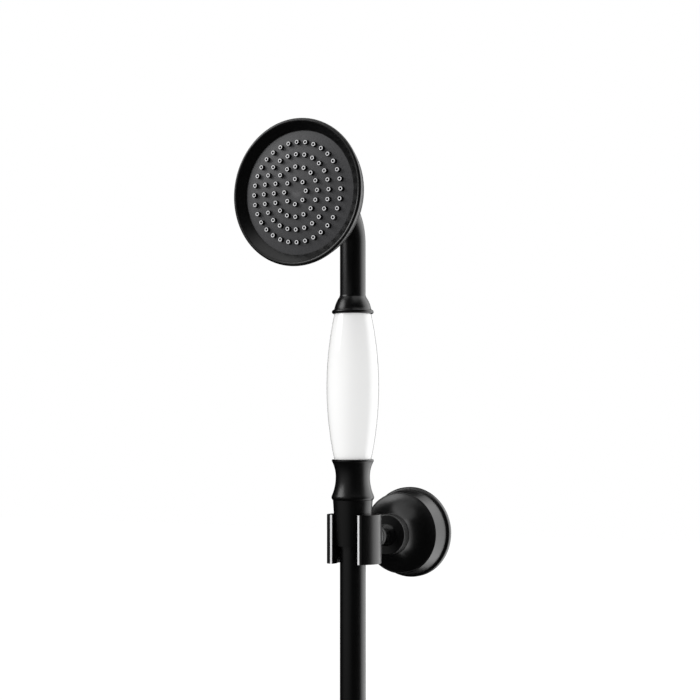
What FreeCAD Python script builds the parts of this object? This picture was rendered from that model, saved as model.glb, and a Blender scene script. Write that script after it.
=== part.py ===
"""Handheld shower head with its hose and wall bracket, as a parametric assembly.

Row frame, in millimetres: the origin is the middle of the bracket's back face, on the wall.
+Y points into the wall, -Y into the room and +Z up. The bracket's arm lies along Y at z = 0,
and the handset stands upright in the clip, its axis "reach" in front of the wall.
Each piece is a body in its own local frame: turned pieces are drawn as an outline of
(across, along) corners, where across is the distance from the axis of turning.
"""

import FreeCAD, Part
import math
import os

import Sketcher

# ---------------------------------------------------------------------------------------------
# Driving sizes. Each one can be changed by itself; "along" places are measured as noted.
# ---------------------------------------------------------------------------------------------

SIZES = {
    # whole set
    "reach": 77.0,  # wall to handset axis
    "fit_gap": 0.05,  # running clearance between pieces that turn or slide on each other
    "seat_gap": 0.1,  # slack of a piece that only rests in a recess
    # conical hose nut, heights from the arm axis
    "nut_foot": -4.2,
    "nut_length": 27.5,
    "nut_foot_wall": 2.0,  # round the crimp sleeve
    "nut_top_wall": 1.5725,  # round the thread
    "pipe_thread_radius": 10.4775,
    "pipe_thread_length": 10.0,
    "union_washer_thick": 2.0,
    "union_washer_bore": 5.0,
    "tail_flange_thick": 2.1,
    "tail_barb_length": 11.0,
    "tail_bore": 3.4,
    # hose
    "hose_radius": 7.8,
    "hose_bore": 4.5,
    "sleeve_wall": 0.4,
    "sleeve_show": 1.6,
    "hose_drop": 212.0,  # straight stretch below the nut's foot
    "coil_radius": 82.0,  # to the middle of the hose
    "coil_pitch": 15.9,
    "coil_drift": 8.0,  # extra step that lets the end fitting lie beside the turns
    "coil_corner": 6.0,
    "end_sleeve_length": 13.0,
    "tie_wall": 1.2,
    "tie_width_angle": 8.0,
    "stub_length": 14.0,
    "end_nut_flats": 24.0,
    "end_nut_length": 20.0,
    "end_nut_skirt": 6.0,
    "thread_relief": 0.2,  # wider bore where the washer lies
    # lower ferrule, heights from the hose nut's top
    "ferrule_bead_height": 2.6,
    "ferrule_bead_curve": 2.2,
    "ferrule_waist_radius": 10.35,
    "ferrule_waist_height": 14.0,
    "ferrule_lip_wall": 1.41,  # round the ceramic
    "ferrule_lip_edge": 0.3,
    "ferrule_length": 24.6,
    "ferrule_lip_height": 1.5,
    "ferrule_upper_curve": 21.0,
    "ferrule_lower_curve": 28.0,
    "limiter_length": 7.0,
    "limiter_setback": 0.5,
    "limiter_wall": 3.0,
    "ferrule_thread_wall": 1.9775,
    "water_bore": 5.2,
    # ceramic handle
    "handle_length": 91.0,
    "handle_belly_radius": 15.9,
    "handle_end_radius": 10.887,
    "handle_bore_slack": 0.8,  # round the tie tube
    "handle_sunk": 1.4,  # depth of each end inside its metal cup
    "handle_washer_thick": 1.5,
    "handle_washer_inset": 1.0,
    # tie tube through the handle
    "tie_tube_wall": 1.4,
    "tie_tube_grip": 9.0,
    "tube_seal_radius": 0.75,
    # upper collar and neck
    "collar_length": 11.3,
    "collar_cup_wall": 0.21,  # round the ceramic
    "collar_bead_bulge": 1.2,
    "collar_bead_height": 2.6,
    "collar_curve": 19.0,
    "collar_step": 0.35,
    "collar_step_height": 0.8,
    "collar_lip": 0.9,
    "collar_lip_wall": 0.15,
    "neck_wall": 1.2,
    "neck_bend_radius": 23.6,
    "neck_rise": 40.05,  # collar's floor to the start of the bend
    "neck_reach": 34.5,  # handset axis to the neck's front end
    # head, distances in front of the handset axis
    "head_hub_wall": 1.8,
    "hub_back": 29.5,
    "bowl_wall": 2.0,
    "bowl_curve": 41.5,
    "bowl_centre_along": 75.25,
    "bowl_inset": 40.66,  # centre of the bowl's curve inside the rim's edge
    "bowl_front": 63.4,
    "rim_width": 6.7,  # round the visible face
    "rim_edge": 65.9,  # where the rim is widest
    "rim_curve": 1.2,
    "face_radius": 36.1,
    "rim_inner_step": 0.5,
    "face_apex": 65.84,
    "face_curve": 205.0,
    "plate_thick": 1.5,
    "plate_lap": 1.4,  # hidden under the rim
    "ring_skirt_wall": 1.05,
    "ring_skirt_length": 4.9,
    "mat_thick": 1.2,
    "mat_inset": 0.9,
    "retainer_thick": 1.6,
    "retainer_hole": 1.0,
    "head_seal_radius": 0.9,
    "head_seal_inset": 1.4,
    "head_seal_gap": 0.03,
    "head_ledge_thick": 1.5,
    "head_ledge_inset": 1.4,
    "nozzle_margin": 7.1,  # from the outer ring of nozzles to the rim
    "nozzle_base": 1.5,
    "nozzle_tip": 1.15,
    "nozzle_height": 2.25,
    "nozzle_hole": 0.45,
    # clip, distances from the handset axis
    "clip_height": 29.4,
    "clip_wall": 6.35,  # round the nut's foot
    "clip_offset": 1.9,  # outer cylinder's axis behind the bore
    "clip_mouth_depth": 10.0,
    "clip_mouth_slack": 0.6,  # round the hose
    "clip_edge": 1.1,
    "clip_boss_radius": 6.5,
    "clip_boss_length": 8.5,  # behind the barrel
    "screw_radius": 2.5,
    "screw_head_radius": 4.2,
    "screw_head_sunk": 1.25,  # behind the nut's foot
    "screw_grip": 7.0,
    "screw_end_room": 1.0,
    "screw_socket": 1.6,
    "screw_socket_depth": 1.5,
    "friction_washer_thick": 1.0,
    "friction_washer_inset": 0.2,
    # ball stud and its seat, distances from the wall
    "ball_place": 30.7,
    "ball_radius": 8.0,
    "stem_radius": 4.3,
    "shoulder_thick": 2.5,
    "hub_wall": 1.8,
    "hub_front": 31.5,
    "seat_wall": 1.5,
    "ball_float": 2.3,  # from the ball to the socket's floor
    "spring_thick": 0.8,
    "spring_slack": 0.5,
    "spring_inset": 1.0,
    "seat_length": 8.4,
    "seat_relief": 3.0,
    "seat_ring_thick": 2.0,
    "seat_ring_wall": 2.0,
    "lock_nut_wall": 1.5,
    "lock_nut_front": 34.6,
    "lock_nut_edge": 0.8,
    # wall plate and flange
    "plate_base_thick": 4.0,
    "plate_clear": 0.6,
    "plate_rim_wall": 3.0,
    "plate_rim_length": 13.0,
    "wall_hole_radius": 2.3,
    "flange_base_radius": 28.8,
    "flange_base_thick": 2.5,
    "flange_step_radius": 27.15,
    "flange_step_place": 4.1,
    "flange_side_radius": 25.7,
    "flange_side_place": 16.0,
    "flange_wall": 1.75,
    "flange_cove_curve": 19.2,
    "flange_cove_lean": 6.55,  # from where the cove meets the neck to the cove's centre
    "flange_neck_place": 28.4,
    "flange_neck_edge": 0.6,
    "flange_edge": 0.8,
    "flange_foot_edge": 0.5,
    "grub_radius": 2.0,
    "grub_place": 9.0,
    "grub_socket": 1.0,
    "grub_sunk": 0.4,
}

NOZZLES_PER_RING = 8  # ring k carries k times this many nozzles
NOZZLE_RINGS = 4
COIL_TURNS = 2.5
PAST = 1.0  # how far a cutting outline runs beyond what it cuts
TINY = 1e-3


class Size:
    """A size held twice: as its number and as the spreadsheet expression that gives it."""

    def __init__(self, value, text):
        self.value = float(value)
        self.text = text

    def __add__(self, other):
        other = as_size(other)
        return Size(self.value + other.value, f"({self.text} + {other.text})")

    def __radd__(self, other):
        return as_size(other) + self

    def __sub__(self, other):
        other = as_size(other)
        return Size(self.value - other.value, f"({self.text} - {other.text})")

    def __rsub__(self, other):
        return as_size(other) - self

    def __mul__(self, other):
        other = as_size(other)
        return Size(self.value * other.value, f"({self.text} * {other.text})")

    def __rmul__(self, other):
        return as_size(other) * self

    def __truediv__(self, other):
        other = as_size(other)
        return Size(self.value / other.value, f"({self.text} / {other.text})")

    def __neg__(self):
        return 0 - self


def as_size(number):
    """Lets a plain number stand beside a Size in a sum."""
    if isinstance(number, Size):
        return number
    return Size(number, f"{number:.6g}" if number >= 0 else f"(0 - {-number:.6g})")


def root(size):
    """Square root, as a number and as an expression."""
    return Size(math.sqrt(size.value), f"sqrt({size.text})")


def leg(radius, other_leg):
    """The other short side of a right triangle whose long side is radius."""
    return root(radius * radius - other_leg * other_leg)


def sag(radius, across):
    """How far an arc of this radius drops from its top at this distance across."""
    return radius - leg(radius, across)


def bulge_radius(half_chord, height):
    """Radius of the arc that rises this high over this half chord."""
    return (half_chord * half_chord + height * height) / (height * 2)


# ---------------------------------------------------------------------------------------------
# Document, sheet and drawing helpers
# ---------------------------------------------------------------------------------------------

doc = FreeCAD.newDocument("shower_set")
sheet = doc.addObject("Spreadsheet::Sheet", "Sizes")


def fill_sheet():
    """Writes every driving size to its own cell and returns them by alias."""
    sizes = {}
    for row, (alias, value) in enumerate(SIZES.items(), start=1):
        sheet.set(f"A{row}", alias.replace("_", " "))
        sheet.set(f"B{row}", f"{value:g}" if value == round(value, 3) else repr(value))
        sheet.setAlias(f"B{row}", alias)
        sizes[alias] = Size(value, f"Sizes.{alias}")
    doc.recompute()
    return sizes


S = fill_sheet()


class Corner:
    """One corner of an outline; with a curve, the edge that reaches it is an arc.

    side is +1 where the arc bulges to the left of the way round, and -1 to the right.
    """

    def __init__(self, across, along, curve=None, side=1):
        self.across = as_size(across)
        self.along = as_size(along)
        self.curve = None if curve is None else as_size(curve)
        self.side = side

    def point(self):
        return FreeCAD.Vector(self.across.value, self.along.value, 0)


def new_body(label, base=(0, 0, 0), rotation=None):
    """A PartDesign body at a place given in Sizes, turned by a FreeCAD rotation."""
    body = doc.addObject("PartDesign::Body", label)
    body.Label = label
    body.Placement = FreeCAD.Placement(FreeCAD.Vector(0, 0, 0), rotation or FreeCAD.Rotation())
    for letter, size in zip("xyz", base):
        body.setExpression(f"Placement.Base.{letter}", as_size(size).text)
    return body


def origin_feature(body, role):
    """A body's own origin plane or axis, such as XY_Plane or Z_Axis."""
    return next(item for item in body.Origin.OriginFeatures if item.Role == role)


def new_sketch(body, name, role):
    """A sketch on one of the body's own origin planes."""
    sketch = body.newObject("Sketcher::SketchObject", f"{body.Label}_{name}")
    sketch.AttachmentSupport = (origin_feature(body, role), [""])
    sketch.MapMode = "FlatFace"
    return sketch


def bind(sketch, kind, *where, size):
    """Adds one dimension and binds it to the sheet."""
    index = sketch.addConstraint(Sketcher.Constraint(kind, *where, size.value))
    sketch.setExpression(f"Constraints[{index}]", size.text)


def pin_point(sketch, edge, position, across, along):
    """Fixes a point at its distances from the sketch's origin."""
    for size, kind, axis in ((across, "DistanceX", -2), (along, "DistanceY", -1)):
        if size.text == "0":
            sketch.addConstraint(Sketcher.Constraint("PointOnObject", edge, position, axis))
        else:
            bind(sketch, kind, -1, 1, edge, position, size=size)


def arc_middle(start, end, curve, side):
    """The point half way along the shorter arc of this radius between two points."""
    chord = end.sub(start)
    left = FreeCAD.Vector(-chord.y, chord.x, 0).normalize()
    height = math.sqrt(max(curve * curve - chord.Length**2 / 4, 0.0))
    middle = (start + end) * 0.5
    return middle + left * (side * (curve - height))


def draw_outline(sketch, corners):
    """Draws a closed outline through the corners and fixes every one of them."""
    count = len(corners)
    edges = []
    for index, corner in enumerate(corners):
        following = corners[(index + 1) % count]
        start, end = corner.point(), following.point()
        if following.curve is None:
            edge = sketch.addGeometry(Part.LineSegment(start, end), False)
        else:
            middle = arc_middle(start, end, following.curve.value, following.side)
            edge = sketch.addGeometry(Part.Arc(start, middle, end), False)
        first_is_start = sketch.getPoint(edge, 1).distanceToPoint(start) < 1e-6
        edges.append((edge, 1, 2) if first_is_start else (edge, 2, 1))
    for index, corner in enumerate(corners):
        edge, start, end = edges[index]
        following, next_start, _ = edges[(index + 1) % count]
        sketch.addConstraint(Sketcher.Constraint("Coincident", edge, end, following, next_start))
        pin_point(sketch, edge, start, corner.across, corner.along)
        curve = corners[(index + 1) % count].curve
        if curve is not None:
            bind(sketch, "Radius", edge, size=curve)


def draw_circle(sketch, radius, across=0, along=0):
    """Draws a circle of this radius about a fixed centre."""
    across, along = as_size(across), as_size(along)
    centre = FreeCAD.Vector(across.value, along.value, 0)
    circle = Part.Circle(centre, FreeCAD.Vector(0, 0, 1), radius.value)
    edge = sketch.addGeometry(circle, False)
    pin_point(sketch, edge, 3, across, along)
    bind(sketch, "Radius", edge, size=radius)


def add_feature(body, kind, name, profile, **settings):
    """A PartDesign feature made from a sketch, with its settings."""
    feature = body.newObject(f"PartDesign::{kind}", f"{body.Label}_{name}")
    feature.Profile = profile
    profile.Visibility = False
    for key, value in settings.items():
        if isinstance(value, Size):
            feature.setExpression(key, value.text)
        else:
            setattr(feature, key, value)
    return feature


def turn(body, name, *outlines, kind="Revolution", plane="XZ_Plane", **settings):
    """Turns closed outlines about the upright axis of one of the body's planes."""
    sketch = new_sketch(body, f"{name}_outline", plane)
    for corners in outlines:
        draw_outline(sketch, corners)
    settings.setdefault("Angle", 360.0)
    return add_feature(body, kind, name, sketch, ReferenceAxis=(sketch, ["V_Axis"]), **settings)


def turned_body(label, corners, base=(0, 0, 0), rotation=None):
    """A piece that one turned outline describes."""
    body = new_body(label, base, rotation)
    turn(body, "turning", corners)
    return body


def ring(inner, outer, foot, top):
    """The outline of a plain ring."""
    return [Corner(inner, foot), Corner(outer, foot), Corner(outer, top), Corner(inner, top)]


def cut_checked(body, feature):
    """Stops the build when a cut has taken nothing away."""
    base = feature.BaseFeature
    doc.recompute()
    if feature.Shape.Volume > base.Shape.Volume - TINY:
        raise RuntimeError(f"{feature.Label} of {body.Label} cuts nothing")


def drill(body, name, plane, holes, **settings):
    """Cuts round holes, each (radius, across, along) on one of the body's planes."""
    sketch = new_sketch(body, f"{name}_circles", plane)
    for radius, across, along in holes:
        draw_circle(sketch, radius, across, along)
    feature = add_feature(body, "Pocket", name, sketch, **settings)
    cut_checked(body, feature)
    return feature


def repeat_round(body, feature, count):
    """Repeats a feature evenly about the body's Z axis."""
    pattern = body.newObject("PartDesign::PolarPattern", f"{feature.Label}_round")
    pattern.Originals = [feature]
    pattern.Axis = (origin_feature(body, "Z_Axis"), [""])
    pattern.Angle = 360.0
    pattern.Occurrences = count
    body.Tip = pattern
    doc.recompute()
    return pattern


def round_edges(body, name, radius, wanted):
    """Fillets the edges of the body's last feature that a test picks out."""
    doc.recompute()
    base = body.Tip
    names = [f"Edge{i}" for i, edge in enumerate(base.Shape.Edges, start=1) if wanted(edge)]
    if not names:
        raise RuntimeError(f"{body.Label} has no edges to round for {name}")
    fillet = body.newObject("PartDesign::Fillet", f"{body.Label}_{name}")
    fillet.Base = (base, names)
    fillet.setExpression("Radius", radius.text)
    doc.recompute()
    return fillet


# Turns a body's own Z axis to point out of the wall, and its Y axis to point up.
FACING_ROOM = FreeCAD.Rotation(FreeCAD.Vector(1, 0, 0), 90)
# Turns it to point at the wall instead, and its Y axis to point down.
FACING_WALL = FreeCAD.Rotation(FreeCAD.Vector(1, 0, 0), -90)

# ---------------------------------------------------------------------------------------------
# Sizes that follow from the driving ones
# ---------------------------------------------------------------------------------------------

SLEEVE_RADIUS = S["hose_radius"] + S["sleeve_wall"]
SLEEVE_BORE = SLEEVE_RADIUS + S["fit_gap"]
NUT_FOOT_RADIUS = SLEEVE_BORE + S["nut_foot_wall"]
NUT_TOP_RADIUS = S["pipe_thread_radius"] + S["nut_top_wall"]
NUT_TOP = S["nut_foot"] + S["nut_length"]
NUT_SLOPE = (NUT_TOP_RADIUS - NUT_FOOT_RADIUS) / S["nut_length"]
THREAD_FOOT = NUT_TOP - S["pipe_thread_length"]
UNION_WASHER_FOOT = THREAD_FOOT - S["union_washer_thick"]
TAIL_FOOT = UNION_WASHER_FOOT - S["fit_gap"] - S["tail_flange_thick"]
NUT_SHOULDER = TAIL_FOOT - S["fit_gap"]
HANDSET = (0, -S["reach"])  # x and y of the handset's upright axis

FERRULE_TOP = NUT_TOP + S["ferrule_length"]
HANDLE_FOOT = FERRULE_TOP - S["handle_sunk"]
HANDLE_TOP = HANDLE_FOOT + S["handle_length"]
HANDLE_CURVE = bulge_radius(
    S["handle_length"] / 2, S["handle_belly_radius"] - S["handle_end_radius"]
)
HANDLE_LIP_RADIUS = S["handle_belly_radius"] - sag(
    HANDLE_CURVE, S["handle_length"] / 2 - S["handle_sunk"]
)
CUP_RADIUS = HANDLE_LIP_RADIUS + S["seat_gap"]
WASHER_RADIUS = S["handle_end_radius"] - S["handle_washer_inset"]
TIE_TUBE_RADIUS = S["water_bore"] + S["tie_tube_wall"]
NECK_RADIUS = TIE_TUBE_RADIUS + S["neck_wall"]
LIMITER_RADIUS = S["pipe_thread_radius"] - S["ferrule_thread_wall"]
COLLAR_BASE_RADIUS = CUP_RADIUS + S["collar_cup_wall"]
COLLAR_FOOT = HANDLE_TOP - S["handle_sunk"]
COLLAR_FLOOR = HANDLE_TOP + S["handle_washer_thick"]
TIE_TUBE_FOOT = HANDLE_FOOT - S["handle_washer_thick"] - S["tie_tube_grip"]
NECK_FOOT = COLLAR_FLOOR + S["tube_seal_radius"] * 2
TIE_TUBE_TOP = NECK_FOOT + S["tie_tube_grip"]

HEAD_HEIGHT = COLLAR_FLOOR + S["neck_rise"] + S["neck_bend_radius"]
HEAD = (0, -S["reach"], HEAD_HEIGHT)
RIM_RADIUS = S["face_radius"] + S["rim_width"]
PLATE_RADIUS = S["face_radius"] + S["plate_lap"]
MAT_RADIUS = PLATE_RADIUS - S["mat_inset"]
HEAD_SEAL_RING = MAT_RADIUS - S["head_seal_inset"]
HEAD_LEDGE_RADIUS = HEAD_SEAL_RING - S["head_ledge_inset"]
HEAD_HUB_RADIUS = NECK_RADIUS + S["head_hub_wall"]
BOWL_CENTRE_ACROSS = RIM_RADIUS - S["bowl_inset"]
NOZZLE_SPACING = (S["face_radius"] - S["nozzle_margin"]) / NOZZLE_RINGS
PLATE_BACK = S["face_apex"] - S["plate_thick"]
MAT_BACK = PLATE_BACK - S["mat_thick"]
RETAINER_BACK = MAT_BACK - S["retainer_thick"]
SEAL_FRONT = RETAINER_BACK - sag(S["face_curve"], HEAD_SEAL_RING) - S["head_seal_gap"]
SEAL_PLACE = SEAL_FRONT - S["head_seal_radius"]
LEDGE_FRONT = SEAL_PLACE - S["head_seal_radius"]
SKIRT_RADIUS = PLATE_RADIUS + S["fit_gap"] + S["ring_skirt_wall"]

COIL_CENTRE = (-S["coil_radius"], S["nut_foot"] - S["hose_drop"])  # x and z
COIL_BACK = -S["reach"] + S["coil_pitch"] * 2 + S["coil_drift"] + S["hose_radius"]
COIL_STEP = S["coil_pitch"] + S["coil_drift"]
COIL_FRONT = S["coil_pitch"] * 2 + S["coil_drift"] + S["hose_radius"] * 2
COIL_PLACE = (COIL_CENTRE[0], COIL_BACK, COIL_CENTRE[1])
END_AXIS = (-S["coil_radius"] * 2, COIL_BACK - S["hose_radius"])
HOSE_END = COIL_CENTRE[1] + S["stub_length"]

CLIP_RADIUS = NUT_FOOT_RADIUS + S["clip_wall"]
CLIP_BOSS_END = CLIP_RADIUS + S["clip_offset"] + S["clip_boss_length"]
CLIP_WASHER_END = CLIP_BOSS_END + S["fit_gap"] + S["friction_washer_thick"]
SCREW_HEAD_PLACE = NUT_FOOT_RADIUS + S["screw_head_sunk"]
SHOULDER_BACK = S["reach"] - CLIP_WASHER_END  # from the wall
SOCKET_RADIUS = S["ball_radius"] + S["seat_wall"]
SOCKET_FLOOR = S["ball_place"] - S["ball_radius"] - S["ball_float"]
HUB_THREAD_RADIUS = SOCKET_RADIUS + S["hub_wall"]
SEAT_RING_RADIUS = S["ball_radius"] + S["seat_ring_wall"]
LOCK_NUT_RADIUS = HUB_THREAD_RADIUS + S["lock_nut_wall"]
SEAT_FOOT = SOCKET_FLOOR + S["spring_thick"] + S["fit_gap"]
SEAT_RING_FOOT = S["hub_front"] + S["seat_gap"]
SEAT_RING_FRONT = SEAT_RING_FOOT + S["seat_ring_thick"]
BALL_CLEAR = S["ball_radius"] + S["fit_gap"]

NECK_BORE = HUB_THREAD_RADIUS + S["fit_gap"]
FLANGE_NECK_RADIUS = NECK_BORE + S["flange_wall"]
FLANGE_INNER = S["flange_side_radius"] - S["flange_wall"]
PLATE_RIM = FLANGE_INNER - S["plate_clear"]
PLATE_RIM_INNER = PLATE_RIM - S["plate_rim_wall"]
WALL_HOLE_PLACE = (HUB_THREAD_RADIUS + PLATE_RIM_INNER) / 2
FLANGE_TAPER = (S["flange_step_radius"] - S["flange_side_radius"]) / (
    S["flange_side_place"] - S["flange_step_place"]
)
FLANGE_AT_GRUB = S["flange_step_radius"] - FLANGE_TAPER * (S["grub_place"] - S["flange_step_place"])

# ---------------------------------------------------------------------------------------------
# Wall bracket
# ---------------------------------------------------------------------------------------------


def wall_plate():
    """The turned plate that is screwed to the wall, with its threaded hub and socket."""
    corners = [
        Corner(0, 0),
        Corner(PLATE_RIM, 0),
        Corner(PLATE_RIM, S["plate_rim_length"]),
        Corner(PLATE_RIM_INNER, S["plate_rim_length"]),
        Corner(PLATE_RIM_INNER, S["plate_base_thick"]),
        Corner(HUB_THREAD_RADIUS, S["plate_base_thick"]),
        Corner(HUB_THREAD_RADIUS, S["hub_front"]),
        Corner(SOCKET_RADIUS, S["hub_front"]),
        Corner(SOCKET_RADIUS, SOCKET_FLOOR),
        Corner(0, SOCKET_FLOOR),
    ]
    body = turned_body("wall_plate", corners, rotation=FACING_ROOM)
    holes = [(S["wall_hole_radius"], place, 0) for place in (WALL_HOLE_PLACE, -WALL_HOLE_PLACE)]
    drill(body, "wall_holes", "XY_Plane", holes, Type="ThroughAll", Reversed=True)
    return body


def wall_flange():
    """The bell-shaped cover: base bead, tapered side and a cove up to the neck."""
    cove = S["flange_cove_curve"]
    inner_cove = cove + S["flange_wall"]
    centre = FLANGE_NECK_RADIUS + leg(cove, S["flange_cove_lean"])
    neck = S["flange_neck_place"]
    neck_edge = S["flange_neck_edge"]
    cove_place = neck - neck_edge + S["flange_cove_lean"]
    cove_start = S["flange_side_radius"] - S["flange_edge"]
    bead = S["flange_base_radius"] - S["flange_step_radius"]
    corners = [
        Corner(FLANGE_INNER, 0),
        Corner(S["flange_base_radius"] - S["flange_foot_edge"], 0),
        Corner(S["flange_base_radius"], S["flange_foot_edge"]),
        Corner(S["flange_base_radius"], S["flange_base_thick"]),
        Corner(S["flange_step_radius"], S["flange_step_place"], bead, -1),
        Corner(S["flange_side_radius"], S["flange_side_place"]),
        Corner(cove_start, cove_place - leg(cove, centre - cove_start), S["flange_edge"], -1),
        Corner(FLANGE_NECK_RADIUS, neck - neck_edge, cove, 1),
        Corner(FLANGE_NECK_RADIUS - neck_edge, neck, neck_edge, -1),
        Corner(NECK_BORE, neck),
        Corner(FLANGE_INNER, cove_place - leg(inner_cove, centre - FLANGE_INNER), inner_cove, -1),
    ]
    body = turned_body("wall_flange", corners, rotation=FACING_ROOM)
    hole = [(S["grub_radius"], 0, S["grub_place"])]
    drill(body, "grub_hole", "XZ_Plane", hole, Type="ThroughAll", Reversed=True)
    return body


def grub_screw():
    """The set screw under the flange that grips the wall plate's rim."""
    length = FLANGE_AT_GRUB - PLATE_RIM - S["grub_sunk"]
    corners = [
        Corner(0, 0),
        Corner(S["grub_radius"], 0),
        Corner(S["grub_radius"], length),
        Corner(S["grub_socket"], length),
        Corner(S["grub_socket"], length / 2),
        Corner(0, length / 2),
    ]
    downwards = FreeCAD.Rotation(FreeCAD.Vector(1, 0, 0), 180)
    return turned_body("flange_grub_screw", corners, (0, -S["grub_place"], -PLATE_RIM), downwards)


def seat_spring():
    """The disc spring that keeps the ball seat pressed on the ball."""
    foot = SOCKET_FLOOR
    inner = S["seat_relief"] + S["spring_inset"]
    corners = ring(inner, SOCKET_RADIUS - S["spring_slack"], foot, foot + S["spring_thick"])
    return turned_body("seat_spring", corners, rotation=FACING_ROOM)


def ball_seat():
    """The nylon cup behind the ball; it can turn in the hub's socket."""
    front = SEAT_FOOT + S["seat_length"]
    outer = SOCKET_RADIUS - S["fit_gap"]
    cup = S["ball_place"] - leg(BALL_CLEAR, S["seat_relief"])
    corners = [
        Corner(S["seat_relief"], SEAT_FOOT),
        Corner(outer, SEAT_FOOT),
        Corner(outer, front),
        Corner(leg(BALL_CLEAR, S["ball_place"] - front), front),
        Corner(S["seat_relief"], cup, BALL_CLEAR, 1),
    ]
    return turned_body("ball_seat", corners, rotation=FACING_ROOM)


def seat_ring():
    """The nylon ring between the ball and the lock nut."""
    foot_radius = leg(BALL_CLEAR, SEAT_RING_FOOT - S["ball_place"])
    front_radius = leg(BALL_CLEAR, SEAT_RING_FRONT - S["ball_place"])
    corners = [
        Corner(foot_radius, SEAT_RING_FOOT, BALL_CLEAR, 1),
        Corner(SEAT_RING_RADIUS, SEAT_RING_FOOT),
        Corner(SEAT_RING_RADIUS, SEAT_RING_FRONT),
        Corner(front_radius, SEAT_RING_FRONT),
    ]
    return turned_body("seat_ring", corners, rotation=FACING_ROOM)


def lock_nut():
    """The ring nut that holds the ball in the hub; its lip follows the ball."""
    back = S["flange_neck_place"] + S["seat_gap"]
    front = S["lock_nut_front"]
    edge = S["lock_nut_edge"]
    lip_back = SEAT_RING_FRONT + S["seat_gap"]
    lip_curve = BALL_CLEAR + S["fit_gap"]
    corners = [
        Corner(HUB_THREAD_RADIUS, back),
        Corner(LOCK_NUT_RADIUS, back),
        Corner(LOCK_NUT_RADIUS, front - edge),
        Corner(LOCK_NUT_RADIUS - edge, front, edge, -1),
        Corner(leg(lip_curve, front - S["ball_place"]), front),
        Corner(leg(lip_curve, lip_back - S["ball_place"]), lip_back, lip_curve, 1),
        Corner(SEAT_RING_RADIUS, lip_back),
        Corner(SEAT_RING_RADIUS, S["hub_front"]),
        Corner(HUB_THREAD_RADIUS, S["hub_front"]),
    ]
    return turned_body("lock_nut", corners, rotation=FACING_ROOM)


def ball_stud():
    """The ball with its stem and shoulder, tapped for the clip's screw."""
    ball = S["ball_radius"]
    neck = S["ball_place"] + leg(ball, S["stem_radius"])
    shoulder = SHOULDER_BACK - S["shoulder_thick"]
    floor = SHOULDER_BACK - S["screw_grip"] - S["screw_end_room"]
    corners = [
        Corner(0, S["ball_place"] - ball),
        Corner(S["stem_radius"], neck, ball, -1),
        Corner(S["stem_radius"], shoulder),
        Corner(S["clip_boss_radius"], shoulder),
        Corner(S["clip_boss_radius"], SHOULDER_BACK),
        Corner(S["screw_radius"], SHOULDER_BACK),
        Corner(S["screw_radius"], floor),
        Corner(0, floor),
    ]
    return turned_body("ball_stud", corners, rotation=FACING_ROOM)


def clip_washer():
    """The friction washer between the stud's shoulder and the clip."""
    front = SHOULDER_BACK + S["friction_washer_thick"]
    outer = S["clip_boss_radius"] - S["friction_washer_inset"]
    corners = ring(S["screw_radius"], outer, SHOULDER_BACK, front)
    return turned_body("clip_washer", corners, rotation=FACING_ROOM)


def clip_screw():
    """The countersunk screw inside the clip, drawn from the handset axis to the wall."""
    head = SCREW_HEAD_PLACE
    sink = S["screw_head_radius"] - S["screw_radius"]
    tip = CLIP_WASHER_END + S["screw_grip"]
    corners = [
        Corner(0, head + S["screw_socket_depth"]),
        Corner(S["screw_socket"], head + S["screw_socket_depth"]),
        Corner(S["screw_socket"], head),
        Corner(S["screw_head_radius"], head),
        Corner(S["screw_radius"], head + sink),
        Corner(S["screw_radius"], tip),
        Corner(0, tip),
    ]
    return turned_body("clip_screw", corners, (0, -S["reach"], 0), FACING_WALL)


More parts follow.
